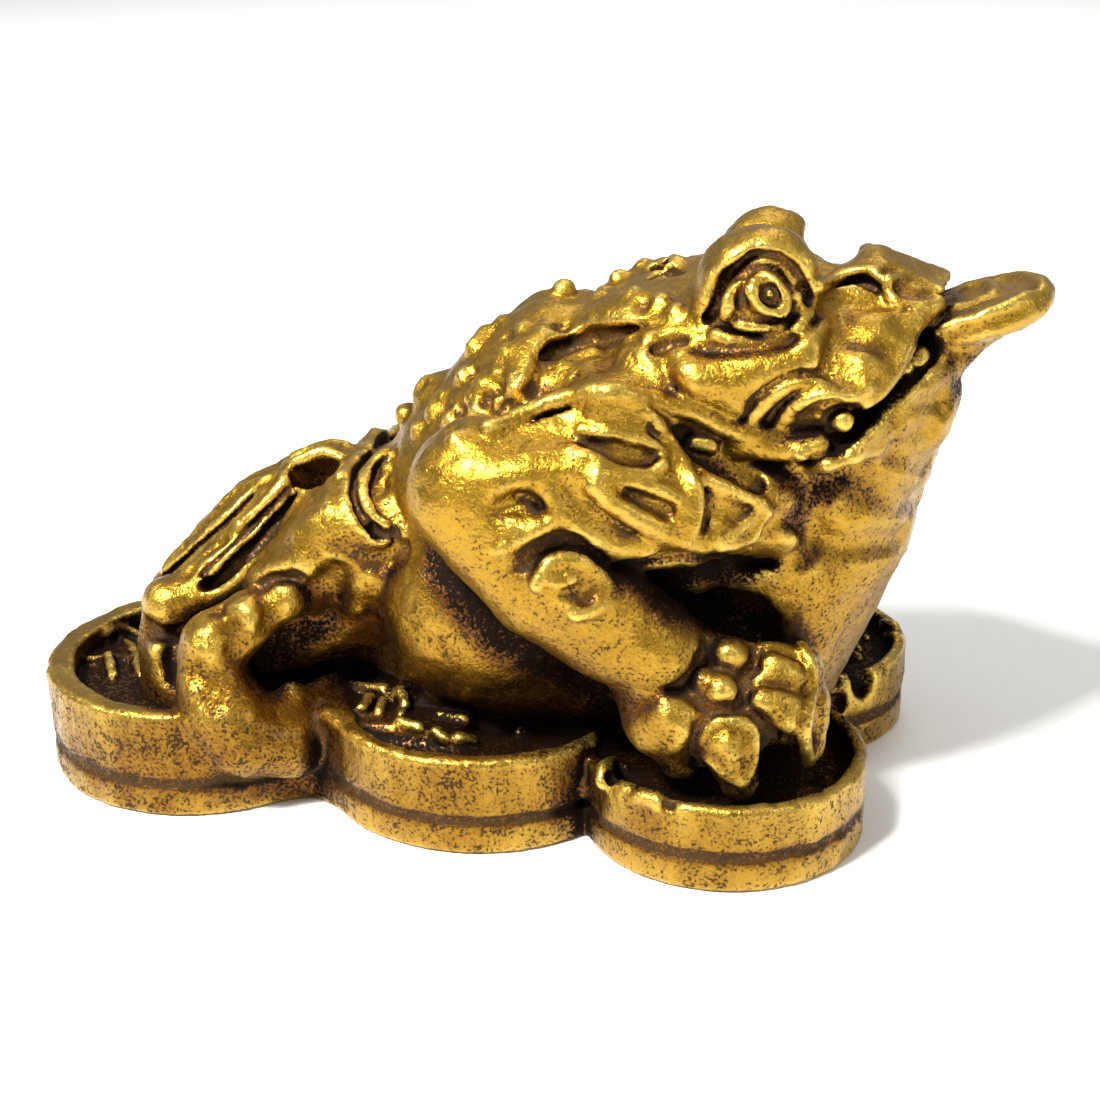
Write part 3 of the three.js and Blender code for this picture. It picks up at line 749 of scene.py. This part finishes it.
def work_forearm(clay):
    """Swirl knob in its crescent hollow, and the bulging cuff of the wrist."""
    work_lines(
        clay,
        ((0.5, 0.6, 0.7, 0.7, 0.6, 0.5), -0.4, 0.5, (520, 566), (532, 553), (548, 545), (567, 541),
         (584, 547), (600, 560)),
        (2.5, 0.8, 0.8, (571, 588)),
        (0.55, 0.6, 0.4, (538, 584), (545, 569), (560, 559), (580, 561), (597, 574), (604, 590), (595, 606),
         (576, 613)),
        (0.9, -0.6, 0.5, (570, 590), (584, 592)),
        (0.35, 0.3, 0.3, (549, 580), (560, 584), (572, 579)),
        side=as_given,
        copy=far_arm,
    )
    work(clay, 2.8, 0.6, (664, 650), side=as_given, copy=far_hand, blend=1.5)
    work(clay, 2.4, 0.4, (626, 600), side=as_given, blend=1.5)
    work(clay, (0.6, 0.7, 0.6, 0.5), -0.6, (708, 644), (703, 664), (690, 681), (672, 693), side=as_given,
         copy=far_hand, blend=0.5)


def work_paw(clay):
    """Knuckles, the shield-shaped nail and the thin claws of a hand."""
    work_lines(
        clay,
        (0.6, -0.35, 0.5, (672, 697), (694, 704), (716, 710), (740, 709), (756, 719), (764, 736)),
        (0.6, -0.35, 0.5, (742, 681), (760, 687), (784, 691)),
        (0.6, -0.35, 0.5, (704, 664), (718, 668), (736, 671), (752, 668)),
        (1.8, 0.6, 0.6, (673, 710), (684, 724)),
        (0.6, -0.6, 0.4, (758, 650), (754, 664), (744, 676), (746, 690), (742, 704)),
        (1.0, 0.6, 0.4, (702, 678)),
        (1.1, 0.7, 0.4, (722, 687)),
        (1.2, 0.8, 0.4, (730, 652)),
        ((0.8, 1.0, 0.9), 0.6, 0.4, (772, 662), (784, 668), (796, 676)),
        ((0.9, 1.2, 1.1), 0.7, 0.4, (764, 701), (778, 706), (791, 708)),
        (0.7, 0.4, 0.4, (770, 648), (788, 650)),
        (0.5, -0.35, 0.5, (697, 728), (694, 745), (700, 764)),
        (0.5, -0.4, 0.5, (764, 736), (764, 758), (757, 778)),
        ((0.8, 1.3, 1.2), -1.2, 0.6, (784, 742), (786, 756), (782, 770)),
        (0.4, 0.35, 0.3, (700, 750), (703, 735), (716, 723), (735, 720), (751, 728), (756, 745), (753, 766),
         (743, 784), (729, 778), (714, 764), (700, 750)),
        (0.8, 0.3, 0.5, (724, 742), (733, 760), (738, 774)),
        (0.45, 0.5, 0.3, (801, 646), (808, 662), (811, 690), (806, 712), (803, 734), (809, 760)),
        (0.45, 0.4, 0.4, (790, 722), (784, 738)),
        side=as_given,
        copy=far_hand,
    )


# Hind limb


def model_hind_limb(clay):
    """Haunch, the slab of layered strips over it, and the toes that bend down onto the rear coin."""
    clay.add(limb((-14, 0, 16.6, 8), (-21, -2.5, 12.2, 5.8), (-25, -3.5, 8, 4.6)), 2)
    clay.add(widened(limb((-17, 0, 21.6, 3.2), (-23.5, 0, 18.4, 3.2), (-30, -0.4, 12.3, 2.5)), 1.5), 1)
    clay.add(limb((-14.5, -5.5, 18.9, 4.8), (-19, -6.2, 15.7, 3.4)), 1, both_sides)
    hollows = (
        (0.8, (337, 556, -12.2, 1.2), (332, 600, -11.6, 3.2), (310, 640, -11, 4.0), (284, 672, -10.4, 3.2)),
        (0.8, (340, 620, -11.2, 3.0), (352, 648, -11, 3.4)),
        (0.8, (362, 560, -13.4, 1.6), (360, 600, -13.2, 2.2), (356, 645, -12.8, 2.8)),
        (0.6, (384, 562, -14.4, 1.0), (388, 600, -14, 1.2), (398, 634, -14, 1.4), (424, 654, -14.5, 1.3)),
    )
    for blend, *balls in hollows:
        clay.cut(seen_limb(*balls), blend)
    near_toes = (
        (0.8, (306, 588, -7, 1.9), (284, 597, -8.6, 1.5)),
        (0.5, (284, 597, -8.8, 1.6), (250, 617, -10.2, 2.1), (213, 646, -11.2, 2.6), (214, 680, -12, 2.6),
         (222, 708, -12.6, 3.0)),
        (1.5, (220, 704, -12.4, 2.8), (244, 736, -12.6, 3.2), (284, 738, -11, 3.2)),
        (0.5, (250, 566, -5, 2.6), (196, 600, -5.8, 2.3), (172, 604, -6.4, 2.3)),
        (0.5, (170, 606, -6, 2.1), (162, 642, -6.2, 1.8), (168, 690, -7.4, 2.0)),
        (1, (176, 650, -7.6, 2.2), (178, 692, -8.6, 2.4), (198, 706, -10, 1.6)),
    )
    for blend, *balls in near_toes:
        clay.add(seen_limb(*balls), blend)
    clay.add(egg(*seen(290, 697, -10), 1.2, 1.2, 1.2), 0.8)
    for x, y, z in ((-29.4, 0.6, 11), (-25.6, 4, 10)):
        clay.add(limb((-19.5, y * 0.72, 14.6, 3.1), (x, y, z, 2.2), (x + 1, y * 1.08 - 0.3, 6, 1.7)), 0.6)


def work_hind_limb(clay):
    """Strips of the slab with grooves between, the hollow at its top and the knuckles of the near toes."""
    outline = ((334, 449), (310, 450), (284, 456), (260, 468), (238, 489), (213, 517), (188, 541), (166, 568))
    edge = ((287, 474), (278, 488), (262, 505), (242, 523), (220, 542), (198, 562), (178, 578))
    work_lines(
        clay,
        (0.28, -0.6, 0.25, (276, 464), (262, 482), (240, 506), (220, 525), (200, 541), (180, 560),
         (164, 575)),
        (0.3, -0.6, 0.25, (287, 487), (272, 504), (256, 520), (238, 538), (220, 554), (202, 572)),
        ((0.4, 0.6, 0.7, 0.6, 0.4), -1.5, 0.3, (291, 494), (273, 520), (249, 548), (220, 576), (202, 586)),
        (0.5, 0.35, 0.3, *outline),
        (0.4, 0.3, 0.25, *edge),
        (0.3, 0.2, 0.2, (284, 500), (268, 519), (250, 537), (230, 556), (212, 574)),
        (0.3, 0.2, 0.2, *moved(edge[1:], -14, -8)),
        ((1.2, 1.6, 1.4), -3.4, 0.4, (300, 470), (315, 468), (331, 468)),
        (0.45, 0.35, 0.3, (286, 478), (286, 464), (300, 454), (320, 450), (336, 454), (345, 464),
         (340, 476)),
        (1.8, 0.5, 1, (302, 530), (324, 528)),
        (1.0, 0.5, 0.8, (256, 578), (278, 569), (304, 566)),
        (0.5, -0.6, 0.5, (206, 622), (226, 606), (246, 594), (268, 583), (296, 578)),
    )
    work_lines(
        clay,
        (1.7, 0.35, 0.8, (247, 614)),
        (1.3, 0.3, 0.8, (285, 590)),
        (2.0, 0.35, 0.8, (210, 640)),
        (0.7, -0.25, 0.8, (262, 598), (268, 612), (266, 630)),
        (0.7, -0.25, 0.8, (228, 618), (236, 636), (234, 656)),
        (0.9, -0.3, 0.9, (198, 672), (208, 688), (216, 702)),
        ((0.6, 0.8, 0.6), -0.6, 0.6, (180, 630), (170, 652), (174, 676)),
        (0.8, 0.3, 0.5, (156, 650)),
        (1.7, 0.4, 0.8, (164, 602), (184, 596)),
        (0.6, -0.4, 0.6, (150, 626), (160, 634), (174, 632)),
        (0.9, 0.4, 0.8, (358, 580), (358, 606)),
        side=as_given,
    )


# Coins


def model_coins(clay, sizes):
    """Five rimmed stacks, joined by webs and by the floor inside their ring."""
    floor, rim, depth = (value / MM for value in (sizes.groove_height, sizes.rim_width, sizes.face_depth))
    for x, y, radius, top in COINS:
        clay.add(disc(x, y, top / 2, radius, top, 0.5), 0.3)
    for x, y, radius, top in COINS:
        shift = REAR_FACE_SHIFT if x == REAR_COIN[0] else 0
        face = radius - rim * radius / REAR_COIN[2] - shift / 2
        clay.cut(disc(x + shift, y, top + 1, face, 2 * depth + 2, 0.3), 0.4)
        clay.cut(hoop(x, y, floor, radius + 0.2, sizes.groove_width / MM / 2), 0.3)
    ring = list(COINS) + [COINS[0]]
    for start, end, (height, width) in zip(ring, ring[1:], WEBS):
        clay.add(wall(start[:2], end[:2], width, height), 2.2)
    clay.add(wall((-14, -1), (13, 1), 15, 2 * floor, 0.5), 0.3)


def work_coins(clay):
    """Shallow marks on the faces, and the chips and nicks that the rims have."""
    marks = (
        ((84, 661), (112, 661), (141, 661)), ((109, 657), (113, 678)), ((105, 633), (120, 629), (138, 636)),
        ((107, 642), (120, 640), (133, 650), (138, 661)), ((136, 664), (142, 676)),
        ((421, 704), (450, 706), (482, 710)), ((406, 698), (402, 716)), ((370, 700), (364, 712)),
        ((376, 688), (386, 698)), ((398, 688), (400, 698)), ((352, 686), (384, 690)),
        ((507, 698), (503, 724)), ((492, 690), (530, 684), (562, 680)), ((524, 700), (526, 716)),
        ((548, 704), (564, 712)), ((436, 732), (446, 740)), ((460, 738), (472, 742)),
        ((384, 660), (372, 668)), ((362, 708), (369, 699)), ((384, 703), (379, 713)),
        ((401, 692), (406, 705)), ((418, 689), (432, 687)), ((440, 717), (464, 721)),
        ((470, 695), (477, 707)), ((486, 726), (502, 730)), ((520, 734), (542, 728)),
        ((400, 722), (420, 728)), ((884, 624), (894, 626)), ((888, 636), (896, 637)),
        ((858, 628), (866, 640)), ((852, 642), (858, 652)), ((846, 654), (858, 659)),
    )
    for mark in marks:
        work(clay, 0.4, 0.5, *mark, side=as_given, blend=0.25)
    work_lines(
        clay,
        (0.9, 0.6, 0.3, (456, 691), (466, 690)),
        (0.5, 0.6, 0.3, (604, 782), (605, 769), (614, 763), (622, 770)),
        (0.5, -0.6, 0.3, (613, 777)),
        (0.6, 0.4, 0.4, (640, 795), (656, 799)),
        (0.6, -0.5, 0.3, (668, 803)),
        (0.4, -0.3, 0.3, (410, 750)),
        (0.9, -0.9, 0.3, (838, 704)),
        ((0.8, 1.1, 0.5), -1.2, 0.3, (860, 676), (864, 684), (864, 694)),
        (0.7, 0.4, 0.5, (586, 788)),
        side=as_given,
    )


def model_mouth_coin(clay):
    """The coin held in the mouth, tipped up, with its rim and a raised curl."""
    x, y, z, tilt = 31.0, 0, 37.5, 18
    c, s = math.cos(math.radians(tilt)), math.sin(math.radians(tilt))
    clay.add(widened(disc(x, y, z, 5.55, 2.6, 1.28, tilt), 0.94), 0.3)
    hold = seen_limb((1008, 318, -1.5, 1.0), (975, 334, -2, 1.3), (952, 350, -2.4, 1.6),
                     (936, 362, -3.4, 1.1))
    clay.add(hold, 1, both_sides)
    clay.cut(disc(x - 1.9 * s, y, z + 1.9 * c, 4.5, 1.6, 0.4, tilt), 0.6)
    work_lines(
        clay,
        (0.5, 0.4, 0.4, (956, 309), (972, 304), (988, 298), (995, 291), (987, 284), (970, 287)),
        (0.35, 0.25, 0.4, (936, 332), (952, 324), (980, 316), (1014, 303)),
        (0.4, -0.25, 0.5, (950, 338), (975, 330), (1002, 320), (1024, 312)),
        (0.35, -0.2, 0.4, (1000, 278), (1020, 280), (1036, 288)),
        side=as_given,
    )


# Whole figure


def model_figure(sizes):
    """The coins and the toad as two bodies of clay."""
    coins, toad = Clay(), Clay()
    model_coins(coins, sizes)
    work_coins(coins)
    model_trunk(toad)
    model_head(toad)
    model_eyes(toad)
    model_arm(toad, as_given, 0, 0)
    model_arm(toad, far_side, FAR_REACH, FAR_SINK)
    model_hind_limb(toad)
    for region in (work_back, work_throat, work_flank, work_eyes, work_cheek, work_snout, work_mouth,
                   work_arm, work_jaw, work_forearm, work_paw, work_hind_limb):
        region(toad)
    model_mouth_coin(toad)
    return coins, toad


def joined(coins, toad, floor):
    """The toad stood on its coins and both cut off flat at the table, as one distance function."""
    def distance(points):
        over = np.maximum(toad.distance(points), floor - points[:, 2])
        return np.maximum(soft_least(over, coins.distance(points), 0.6), -points[:, 2])

    return distance


def drawn_surface(distance, low, high, cell):
    """Points and faces of the zero level of a distance function inside a box."""
    low = np.array(low, float)
    block = 4
    step = cell * block
    band = 3 * cell
    count = np.ceil((np.array(high) - low) / step).astype(int)
    blocks = np.stack(np.meshgrid(*(np.arange(n) for n in count), indexing="ij"), -1).reshape(-1, 3)
    with ThreadPoolExecutor(4) as pool:
        d = np.concatenate(list(pool.map(distance, np.array_split(low + (blocks + 0.5) * step, count[0]))))
        field = np.sign(d).reshape(count).astype(np.float32) * band
        field = field.repeat(block, 0).repeat(block, 1).repeat(block, 2)
        near = blocks[np.abs(d) < step]
        order = np.lexsort((near // 8).T)
        inside = np.stack(np.meshgrid(*(np.arange(block),) * 3, indexing="ij"), -1).reshape(-1, 3)
        cells = (near[order][:, None, :] * block + inside).reshape(-1, 3)
        parts = np.array_split(low + (cells + 0.5) * cell, max(1, len(cells) // BATCH))
        found = np.concatenate(list(pool.map(distance, parts)))
    field[tuple(cells.T)] = np.clip(found, -band, band)
    grid = openvdb.FloatGrid(band)
    grid.copyFromArray(field)
    points, triangles, quads = grid.convertToPolygons(0.0, 0.0)
    return low + (points + 0.5) * cell, [*quads.tolist(), *triangles.tolist()]


def thinned(mesh, face_limit):
    """The mesh with its flattest faces joined until it is within the limit."""
    count = sum(len(p.vertices) - 2 for p in mesh.polygons)
    helper = bpy.data.objects.new("helper", mesh)
    bpy.context.scene.collection.objects.link(helper)
    cutter = helper.modifiers.new("fewer faces", "DECIMATE")
    cutter.ratio = min(1, face_limit / count)
    cutter.use_collapse_triangulate = True
    result = bpy.data.meshes.new_from_object(helper.evaluated_get(bpy.context.evaluated_depsgraph_get()))
    bpy.data.objects.remove(helper)
    return result


def without_scraps(mesh):
    """The mesh with only its largest piece kept."""
    shape = bmesh.new()
    shape.from_mesh(mesh)
    waiting = set(shape.verts)
    largest = []
    while waiting:
        piece = [waiting.pop()]
        for vert in piece:
            for edge in vert.link_edges:
                other = edge.other_vert(vert)
                if other in waiting:
                    waiting.remove(other)
                    piece.append(other)
        largest = max(largest, piece, key=len)
    kept = set(largest)
    bmesh.ops.delete(shape, geom=[vert for vert in shape.verts if vert not in kept], context="VERTS")
    shape.to_mesh(mesh)
    shape.free()
    return mesh


def mesh_points(mesh):
    points = np.empty(len(mesh.vertices) * 3, np.float32)
    mesh.vertices.foreach_get("co", points)
    return points.reshape(-1, 3)


def mesh_normals(mesh):
    normals = np.empty(len(mesh.vertices) * 3, np.float32)
    mesh.vertex_normals.foreach_get("vector", normals)
    return normals.reshape(-1, 3)


def roughen(mesh, grain):
    """Uneven hand-modelled skin: soft lumps with finer ones on them, pressed along the normals."""
    points, normals = mesh_points(mesh), mesh_normals(mesh)
    lumps = np.array([noise.noise(Vector(p) / 2.3) + 0.65 * noise.noise(Vector(p) / 0.9) for p in points])
    lumps *= np.clip(points[:, 2] / 0.5, 0, 1)
    mesh.vertices.foreach_set("co", (points + normals * (grain * lumps)[:, None]).ravel())


def store(mesh, name, values):
    mesh.attributes.new(name, "FLOAT", "POINT").data.foreach_set("value", np.asarray(values, np.float32))


def closeness(distance, points, normals, reach, lift=0):
    """How closed in each point is, out along its normal and up by the lift: 0 in the open, 1 in a slot."""
    ways = normals + np.array([0, 0, lift])
    ways *= reach / np.linalg.norm(ways, axis=1)[:, None]
    parts = np.array_split(points + ways, max(1, len(points) // BATCH))
    with ThreadPoolExecutor(4) as pool:
        clear = np.concatenate(list(pool.map(distance, parts)))
    return np.clip(1 - clear / reach, 0, 1)


def pooled(points, rim_width):
    """How deep each point lies in a coin's sunk face: 0 outside and on the rims, 1 on the faces."""
    x, y, z = points.T
    depth = np.zeros(len(points))
    for cx, cy, radius, top in COINS:
        shift = REAR_FACE_SHIFT if cx == REAR_COIN[0] else 0
        inside = radius - rim_width * 0.7 - shift / 2 - np.hypot(x - cx - shift, y - cy)
        depth = np.maximum(depth, np.clip(inside / 0.5, 0, 1) * np.clip((top - 0.5 - z) / 0.8, 0, 1))
    return depth


def bulge(mesh, points, normals, rounds):
    """How far each point stands out from its neighbours, per millimetre between, smoothed over the skin."""
    edges = np.empty(len(mesh.edges) * 2, np.int32)
    mesh.edges.foreach_get("vertices", edges)
    a, b = edges.reshape(-1, 2).T
    share = np.zeros(len(points))
    np.add.at(share, a, 1)
    np.add.at(share, b, 1)
    lean = np.zeros(len(points))
    slope = np.linalg.norm(points[a] - points[b], axis=1) ** 2
    np.add.at(lean, a, ((points[a] - points[b]) * normals[a]).sum(1) / slope)
    np.add.at(lean, b, ((points[b] - points[a]) * normals[b]).sum(1) / slope)
    lean /= share
    for _ in range(rounds):
        total = lean.copy()
        np.add.at(total, a, lean[b])
        np.add.at(total, b, lean[a])
        lean = total / (share + 1)
    return lean


def cast(sizes):
    """The finished casting's mesh in metres at its place in the frame."""
    coins, toad = model_figure(sizes)
    distance = joined(coins, toad, sizes.groove_height / MM)
    points, faces = drawn_surface(distance, *DRAWN_BOX, sizes.cell / MM)
    mesh = bpy.data.meshes.new("raw")
    mesh.from_pydata(points.tolist(), [], faces)
    mesh = without_scraps(thinned(mesh, sizes.face_limit))
    points, normals = mesh_points(mesh), mesh_normals(mesh)
    store(mesh, "recess", closeness(distance, points, normals, 1.0))
    store(mesh, "shelter", closeness(distance, points, normals, 5.0, 0.8))
    store(mesh, "pool", pooled(points, sizes.rim_width / MM))
    roughen(mesh, sizes.grain / MM)
    points, normals = mesh_points(mesh), mesh_normals(mesh)
    store(mesh, "crest", bulge(mesh, points, normals, 3))
    place = np.array(CAD_BOX[0]) - np.array(BOX_CORNER) * MM
    mesh.vertices.foreach_set("co", (points * MM + place).ravel())
    mesh.shade_smooth()
    mesh.update()
    return mesh


# Finish


def node(tree, kind, inputs=(), output=0, **settings):
    """Adds a node and gives one output. Each input, by number or in order, is a value or a socket."""
    new = tree.nodes.new("ShaderNode" + kind)
    for name, value in settings.items():
        setattr(new, name, value)
    for place, value in inputs.items() if isinstance(inputs, dict) else enumerate(inputs):
        if isinstance(value, bpy.types.NodeSocket):
            tree.links.new(value, new.inputs[place])
        else:
            new.inputs[place].default_value = value
    return new.outputs[output]


def antique_gold(colours, groove_height):
    """Lacquered cast brass, dipped dark and rubbed back: crests lighter from wear and a painted highlight,
    matt near-black recesses, painted shade in sheltered places, and darker towards the table.
    """
    material = bpy.data.materials.new("antique_gold_over_brass")
    material.use_nodes = True
    tree = material.node_tree
    shader = tree.nodes["Principled BSDF"]
    add = partial(node, tree)
    place = add("TexCoord", output="Object")
    along = add("SeparateXYZ", [place])
    height = add("SeparateXYZ", [place], 2)
    recess, shelter, pool, crest = (add("Attribute", output="Fac", attribute_name=name)
                                    for name in ("recess", "shelter", "pool", "crest"))

    # Stain taken up unevenly over 4 mm, rubbed patches of 1.7 and 0.9 mm, and the cast skin's 0.24 mm grit
    blotches = add("TexNoise", {0: place, 2: 1000 / 4.0, 3: 3})
    blotches = add("MapRange", (blotches, 0.3, 0.7, -0.5, 0.5))
    patches = add("TexNoise", {0: place, 2: 1000 / 1.7, 3: 2, 8: 0.5})
    coarse = add("TexNoise", {0: place, 2: 1000 / 0.9, 3: 3})
    coarse = add("MapRange", (coarse, 0.3, 0.7))
    grit = add("TexNoise", {0: place, 2: 1000 / 0.24, 3: 2})
    grit = add("MapRange", (grit, 0.3, 0.7))
    grain = add("Math", (coarse, 0.3, -0.5), operation="MULTIPLY_ADD")
    grain = add("Math", (grit, 0.7, grain), operation="MULTIPLY_ADD")

    # Darker towards the table, more so toward the tail
    low = add("MapRange", (height, 0.026, 0.006, 0, add("MapRange", (along, -0.012, -0.032, 1, 1.5))))

    # Stain held in folds and in the groove round the coins
    gap = add("Math", (height, groove_height), operation="SUBTRACT")
    gap = add("Math", [gap], operation="ABSOLUTE")
    edge = add("MapRange", (gap, 0.0007, 0.0005, 0, add("MapRange", (recess, 0.1, 0.22))))
    folded = add("Math", (blotches, 0.2, add("MapRange", (recess, 0.19, 0.65))), operation="MULTIPLY_ADD")
    folded = add("Math", (folded, add("MapRange", (crest, 0, 0.5, 0, 0.7))), operation="SUBTRACT")
    folded = add("Math", (folded, edge), operation="MAXIMUM")

    # Stain and painted shade in sheltered places under overhangs, and stain pooled on the coins' faces; held
    # adds the stain in folds to these
    shelter_shade_and_stain = add("Math", (blotches, 0.2, add("MapRange", (shelter, 0.35, 0.92))), operation="MULTIPLY_ADD")
    shelter_shade_and_stain = add("Math", (shelter_shade_and_stain, add("MapRange", (crest, 0.05, 0.5, 0, 0.5))), operation="SUBTRACT")
    puddle = add("Math", (pool, 0.75, add("MapRange", (crest, 0.05, 0.3, 0, -0.9))), operation="MULTIPLY_ADD")
    shelter_shade_and_stain = add("Math", (shelter_shade_and_stain, puddle), operation="MAXIMUM")
    held = add("Math", (shelter_shade_and_stain, 0.8), operation="MULTIPLY")
    held = add("Math", (folded, 0.6, held), operation="MULTIPLY_ADD")

    # Gold, deeper towards the table, in stain and in painted shade, and lighter on the crests from wear and a
    # painted highlight
    depth = add("Math", (low, 0.32, held), operation="MULTIPLY_ADD")
    depth = add("Math", (grain, 0.3, depth), operation="MULTIPLY_ADD")
    depth = add("MapRange", (depth, 0, 0.5))
    toned = add("Mix", {0: depth, 6: colours.gold, 7: colours.shade}, 2, data_type="RGBA")
    crest_wear_and_highlight = add("MapRange", (crest, 0.1, 0.5, 0, 0.8))
    toned = add("Mix", {0: crest_wear_and_highlight, 6: toned, 7: colours.rubbed}, 2, data_type="RGBA")

    # Fine dark specks, thicker where stain and painted shade are held and in patches on low ground
    push = add("Math", (coarse, 0.3, -0.15), operation="MULTIPLY_ADD")
    push = add("Math", (held, 0.5, push), operation="MULTIPLY_ADD")
    patches = add("MapRange", (patches, 0.54, 0.68, 0.16, 0.46))
    push = add("Math", (low, patches, push), operation="MULTIPLY_ADD")
    specks = add("MapRange", (add("Math", (grit, push), operation="ADD"), 0.78, 1.02, 0, 0.75))
    toned = add("Mix", {0: specks, 6: toned, 7: colours.patina_and_shade}, 2, data_type="RGBA")

    # The stain itself: dusty brown where it is thin, near black where it is deep in recesses, and near black
    # as painted shade where sheltered
    soak_and_shade = add("Math", (shelter_shade_and_stain, add("MapRange", (recess, 0.6, 1, 0, 0.7))), operation="ADD")
    soak_and_shade = add("MapRange", (soak_and_shade, 0.2, 0.6))
    stain = add("Mix", {0: soak_and_shade, 6: colours.dust, 7: colours.patina_and_shade}, 2, data_type="RGBA")
    speckled = add("MapRange", (grit, 0.8, 0.2, 0, 0.5))
    stain = add("Mix", {0: speckled, 6: stain, 7: colours.patina_and_shade}, 2, data_type="RGBA")
    stain_and_shade_cover = add("MapRange", (add("Math", (grain, 0.9, held), operation="MULTIPLY_ADD"), 0.3, 0.66))
    dark = add("Math", (stain_and_shade_cover, specks), operation="MAXIMUM")

    # Stain and painted shade are matt and hardly metallic, rubbed brass keeps its shine and a thin lacquer
    rubbed = add("MapRange", (coarse, 0, 1, 0.3, 0.44))
    relief = add("Math", (grit, 0.4, coarse), operation="MULTIPLY_ADD")
    relief = add("Math", (dark, -0.5, relief), operation="MULTIPLY_ADD")
    skin = {
        "Base Color": add("Mix", {0: stain_and_shade_cover, 6: toned, 7: stain}, 2, data_type="RGBA"),
        "Metallic": add("MapRange", (dark, 0, 1, 1, 0.15)),
        "Roughness": add("Math", (dark, 0.25, rubbed), operation="MULTIPLY_ADD"),
        "Coat Weight": add("MapRange", (dark, 0, 0.5, 0.15, 0)),
        "Specular IOR Level": add("MapRange", (dark, 0.2, 0.9, 0.5, 0.07)),
        "Normal": add("Bump", {0: 0.6, 1: 0.00011, "Height": relief}),
    }
    for name, socket in skin.items():
        tree.links.new(socket, shader.inputs[name])
    shader.inputs["Coat Roughness"].default_value = 0.25
    return material


def studio_paper(colours):
    """Matt paper sweep: an even pale ground."""
    material = bpy.data.materials.new("studio_paper")
    material.use_nodes = True
    shader = material.node_tree.nodes["Principled BSDF"]
    shader.inputs["Base Color"].default_value = tuple(colours.paper)
    shader.inputs["Roughness"].default_value = 0.9
    return material


def shown(name, data):
    thing = bpy.data.objects.new(name, data)
    bpy.context.scene.collection.objects.link(thing)
    return thing


class TOAD_OT_cast_figure(bpy.types.Operator):
    """Model the toad on its coins, draw its surface and give it the antique gold finish"""
    bl_idname = "toad.cast_figure"
    bl_label = "Cast the figure"

    def execute(self, context):
        scene = context.scene
        mesh = cast(scene.toad_sizes)
        mesh.name = "toad_casting"
        mesh.materials.append(antique_gold(scene.toad_colours, scene.toad_sizes.groove_height))
        piece = shown("toad_casting", mesh)
        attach(piece, "root")
        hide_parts(NODE)
        return {"FINISHED"}


def aimed(thing, place, target):
    thing.location = place
    thing.rotation_euler = (target - place).to_track_quat("-Z", "Y").to_euler()


def soft_box(name, place, target, size, power):
    light = bpy.data.lights.new(name, "AREA")
    light.energy = power
    light.size = size
    aimed(shown(name, light), place, target)


class TOAD_OT_build_studio(bpy.types.Operator):
    """Lay the pale floor, hang the soft lights and set the camera where the photograph was taken from"""
    bl_idname = "toad.build_studio"
    bl_label = "Build the studio"

    def execute(self, context):
        scene = context.scene
        shape = bmesh.new()
        bmesh.ops.create_grid(shape, x_segments=1, y_segments=1, size=2)
        floor = bpy.data.meshes.new("floor")
        shape.to_mesh(floor)
        shape.free()
        floor.materials.append(studio_paper(scene.toad_colours))
        shown("floor", floor)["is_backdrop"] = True
        world = bpy.data.worlds.new("studio")
        scene.world = world
        world.use_nodes = True
        sky = world.node_tree
        rise = node(sky, "SeparateXYZ", [node(sky, "TexCoord", output="Generated")], 2)
        glow = node(sky, "MapRange", (rise, 0, 0.9, 0.25, 0.55))
        sky.links.new(glow, sky.nodes["Background"].inputs[1])
        sky.nodes["Background"].inputs[0].default_value = (1, 1, 1, 1)
        scene.view_settings.view_transform = "Standard"
        place = Vector(CAD_BOX[0]) - Vector(BOX_CORNER) * MM
        camera = bpy.data.cameras.new("photo_camera")
        camera.sensor_width = 36
        camera.lens = camera.sensor_width * PHOTO_FOCAL / PHOTO_SIDE
        scene.camera = shown("photo_camera", camera)
        aimed(scene.camera, Vector(CAMERA_AT) * MM + place, Vector(CAMERA_AIM) * MM + place)
        middle = Vector((0, 0, 0.02))
        soft_box("key_light", Vector((-0.16, -0.20, 0.36)), middle, 0.08, 3.7)
        soft_box("side_light", Vector((0.34, -0.16, 0.20)), middle, 0.10, 0.25)
        soft_box("top_light", Vector((0.04, 0.20, 0.40)), middle, 0.16, 0.3)
        soft_box("ground_light", Vector((0, 0.35, 0.50)), Vector((0, 1, 0)), 0.30, 2.8)
        return {"FINISHED"}


class TOAD_PT_panel(bpy.types.Panel):
    """Sizes, colours and the two steps of the figure"""
    bl_idname = "TOAD_PT_panel"
    bl_label = "Money toad"
    bl_space_type = "VIEW_3D"
    bl_region_type = "UI"
    bl_category = "Money toad"

    def draw(self, context):
        for group in (context.scene.toad_sizes, context.scene.toad_colours):
            for name in group.bl_rna.properties.keys():
                if name not in {"rna_type", "name"}:
                    self.layout.prop(group, name)
        self.layout.operator(TOAD_OT_cast_figure.bl_idname)
        self.layout.operator(TOAD_OT_build_studio.bl_idname)


CLASSES = (ToadSizes, ToadColours, TOAD_OT_cast_figure, TOAD_OT_build_studio, TOAD_PT_panel)


def register():
    for each in CLASSES:
        bpy.utils.register_class(each)
    bpy.types.Scene.toad_sizes = bpy.props.PointerProperty(type=ToadSizes)
    bpy.types.Scene.toad_colours = bpy.props.PointerProperty(type=ToadColours)


def unregister():
    del bpy.types.Scene.toad_colours
    del bpy.types.Scene.toad_sizes
    for each in reversed(CLASSES):
        bpy.utils.unregister_class(each)


def main():
    register()
    bpy.ops.toad.build_studio()
    bpy.ops.toad.cast_figure()
    boxes = {"cad": CAD_BOX, "visual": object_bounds()}
    {name: [[float(v) for v in corner] for corner in box] for name, box in boxes.items()}


if __name__ == "__main__":
    main()
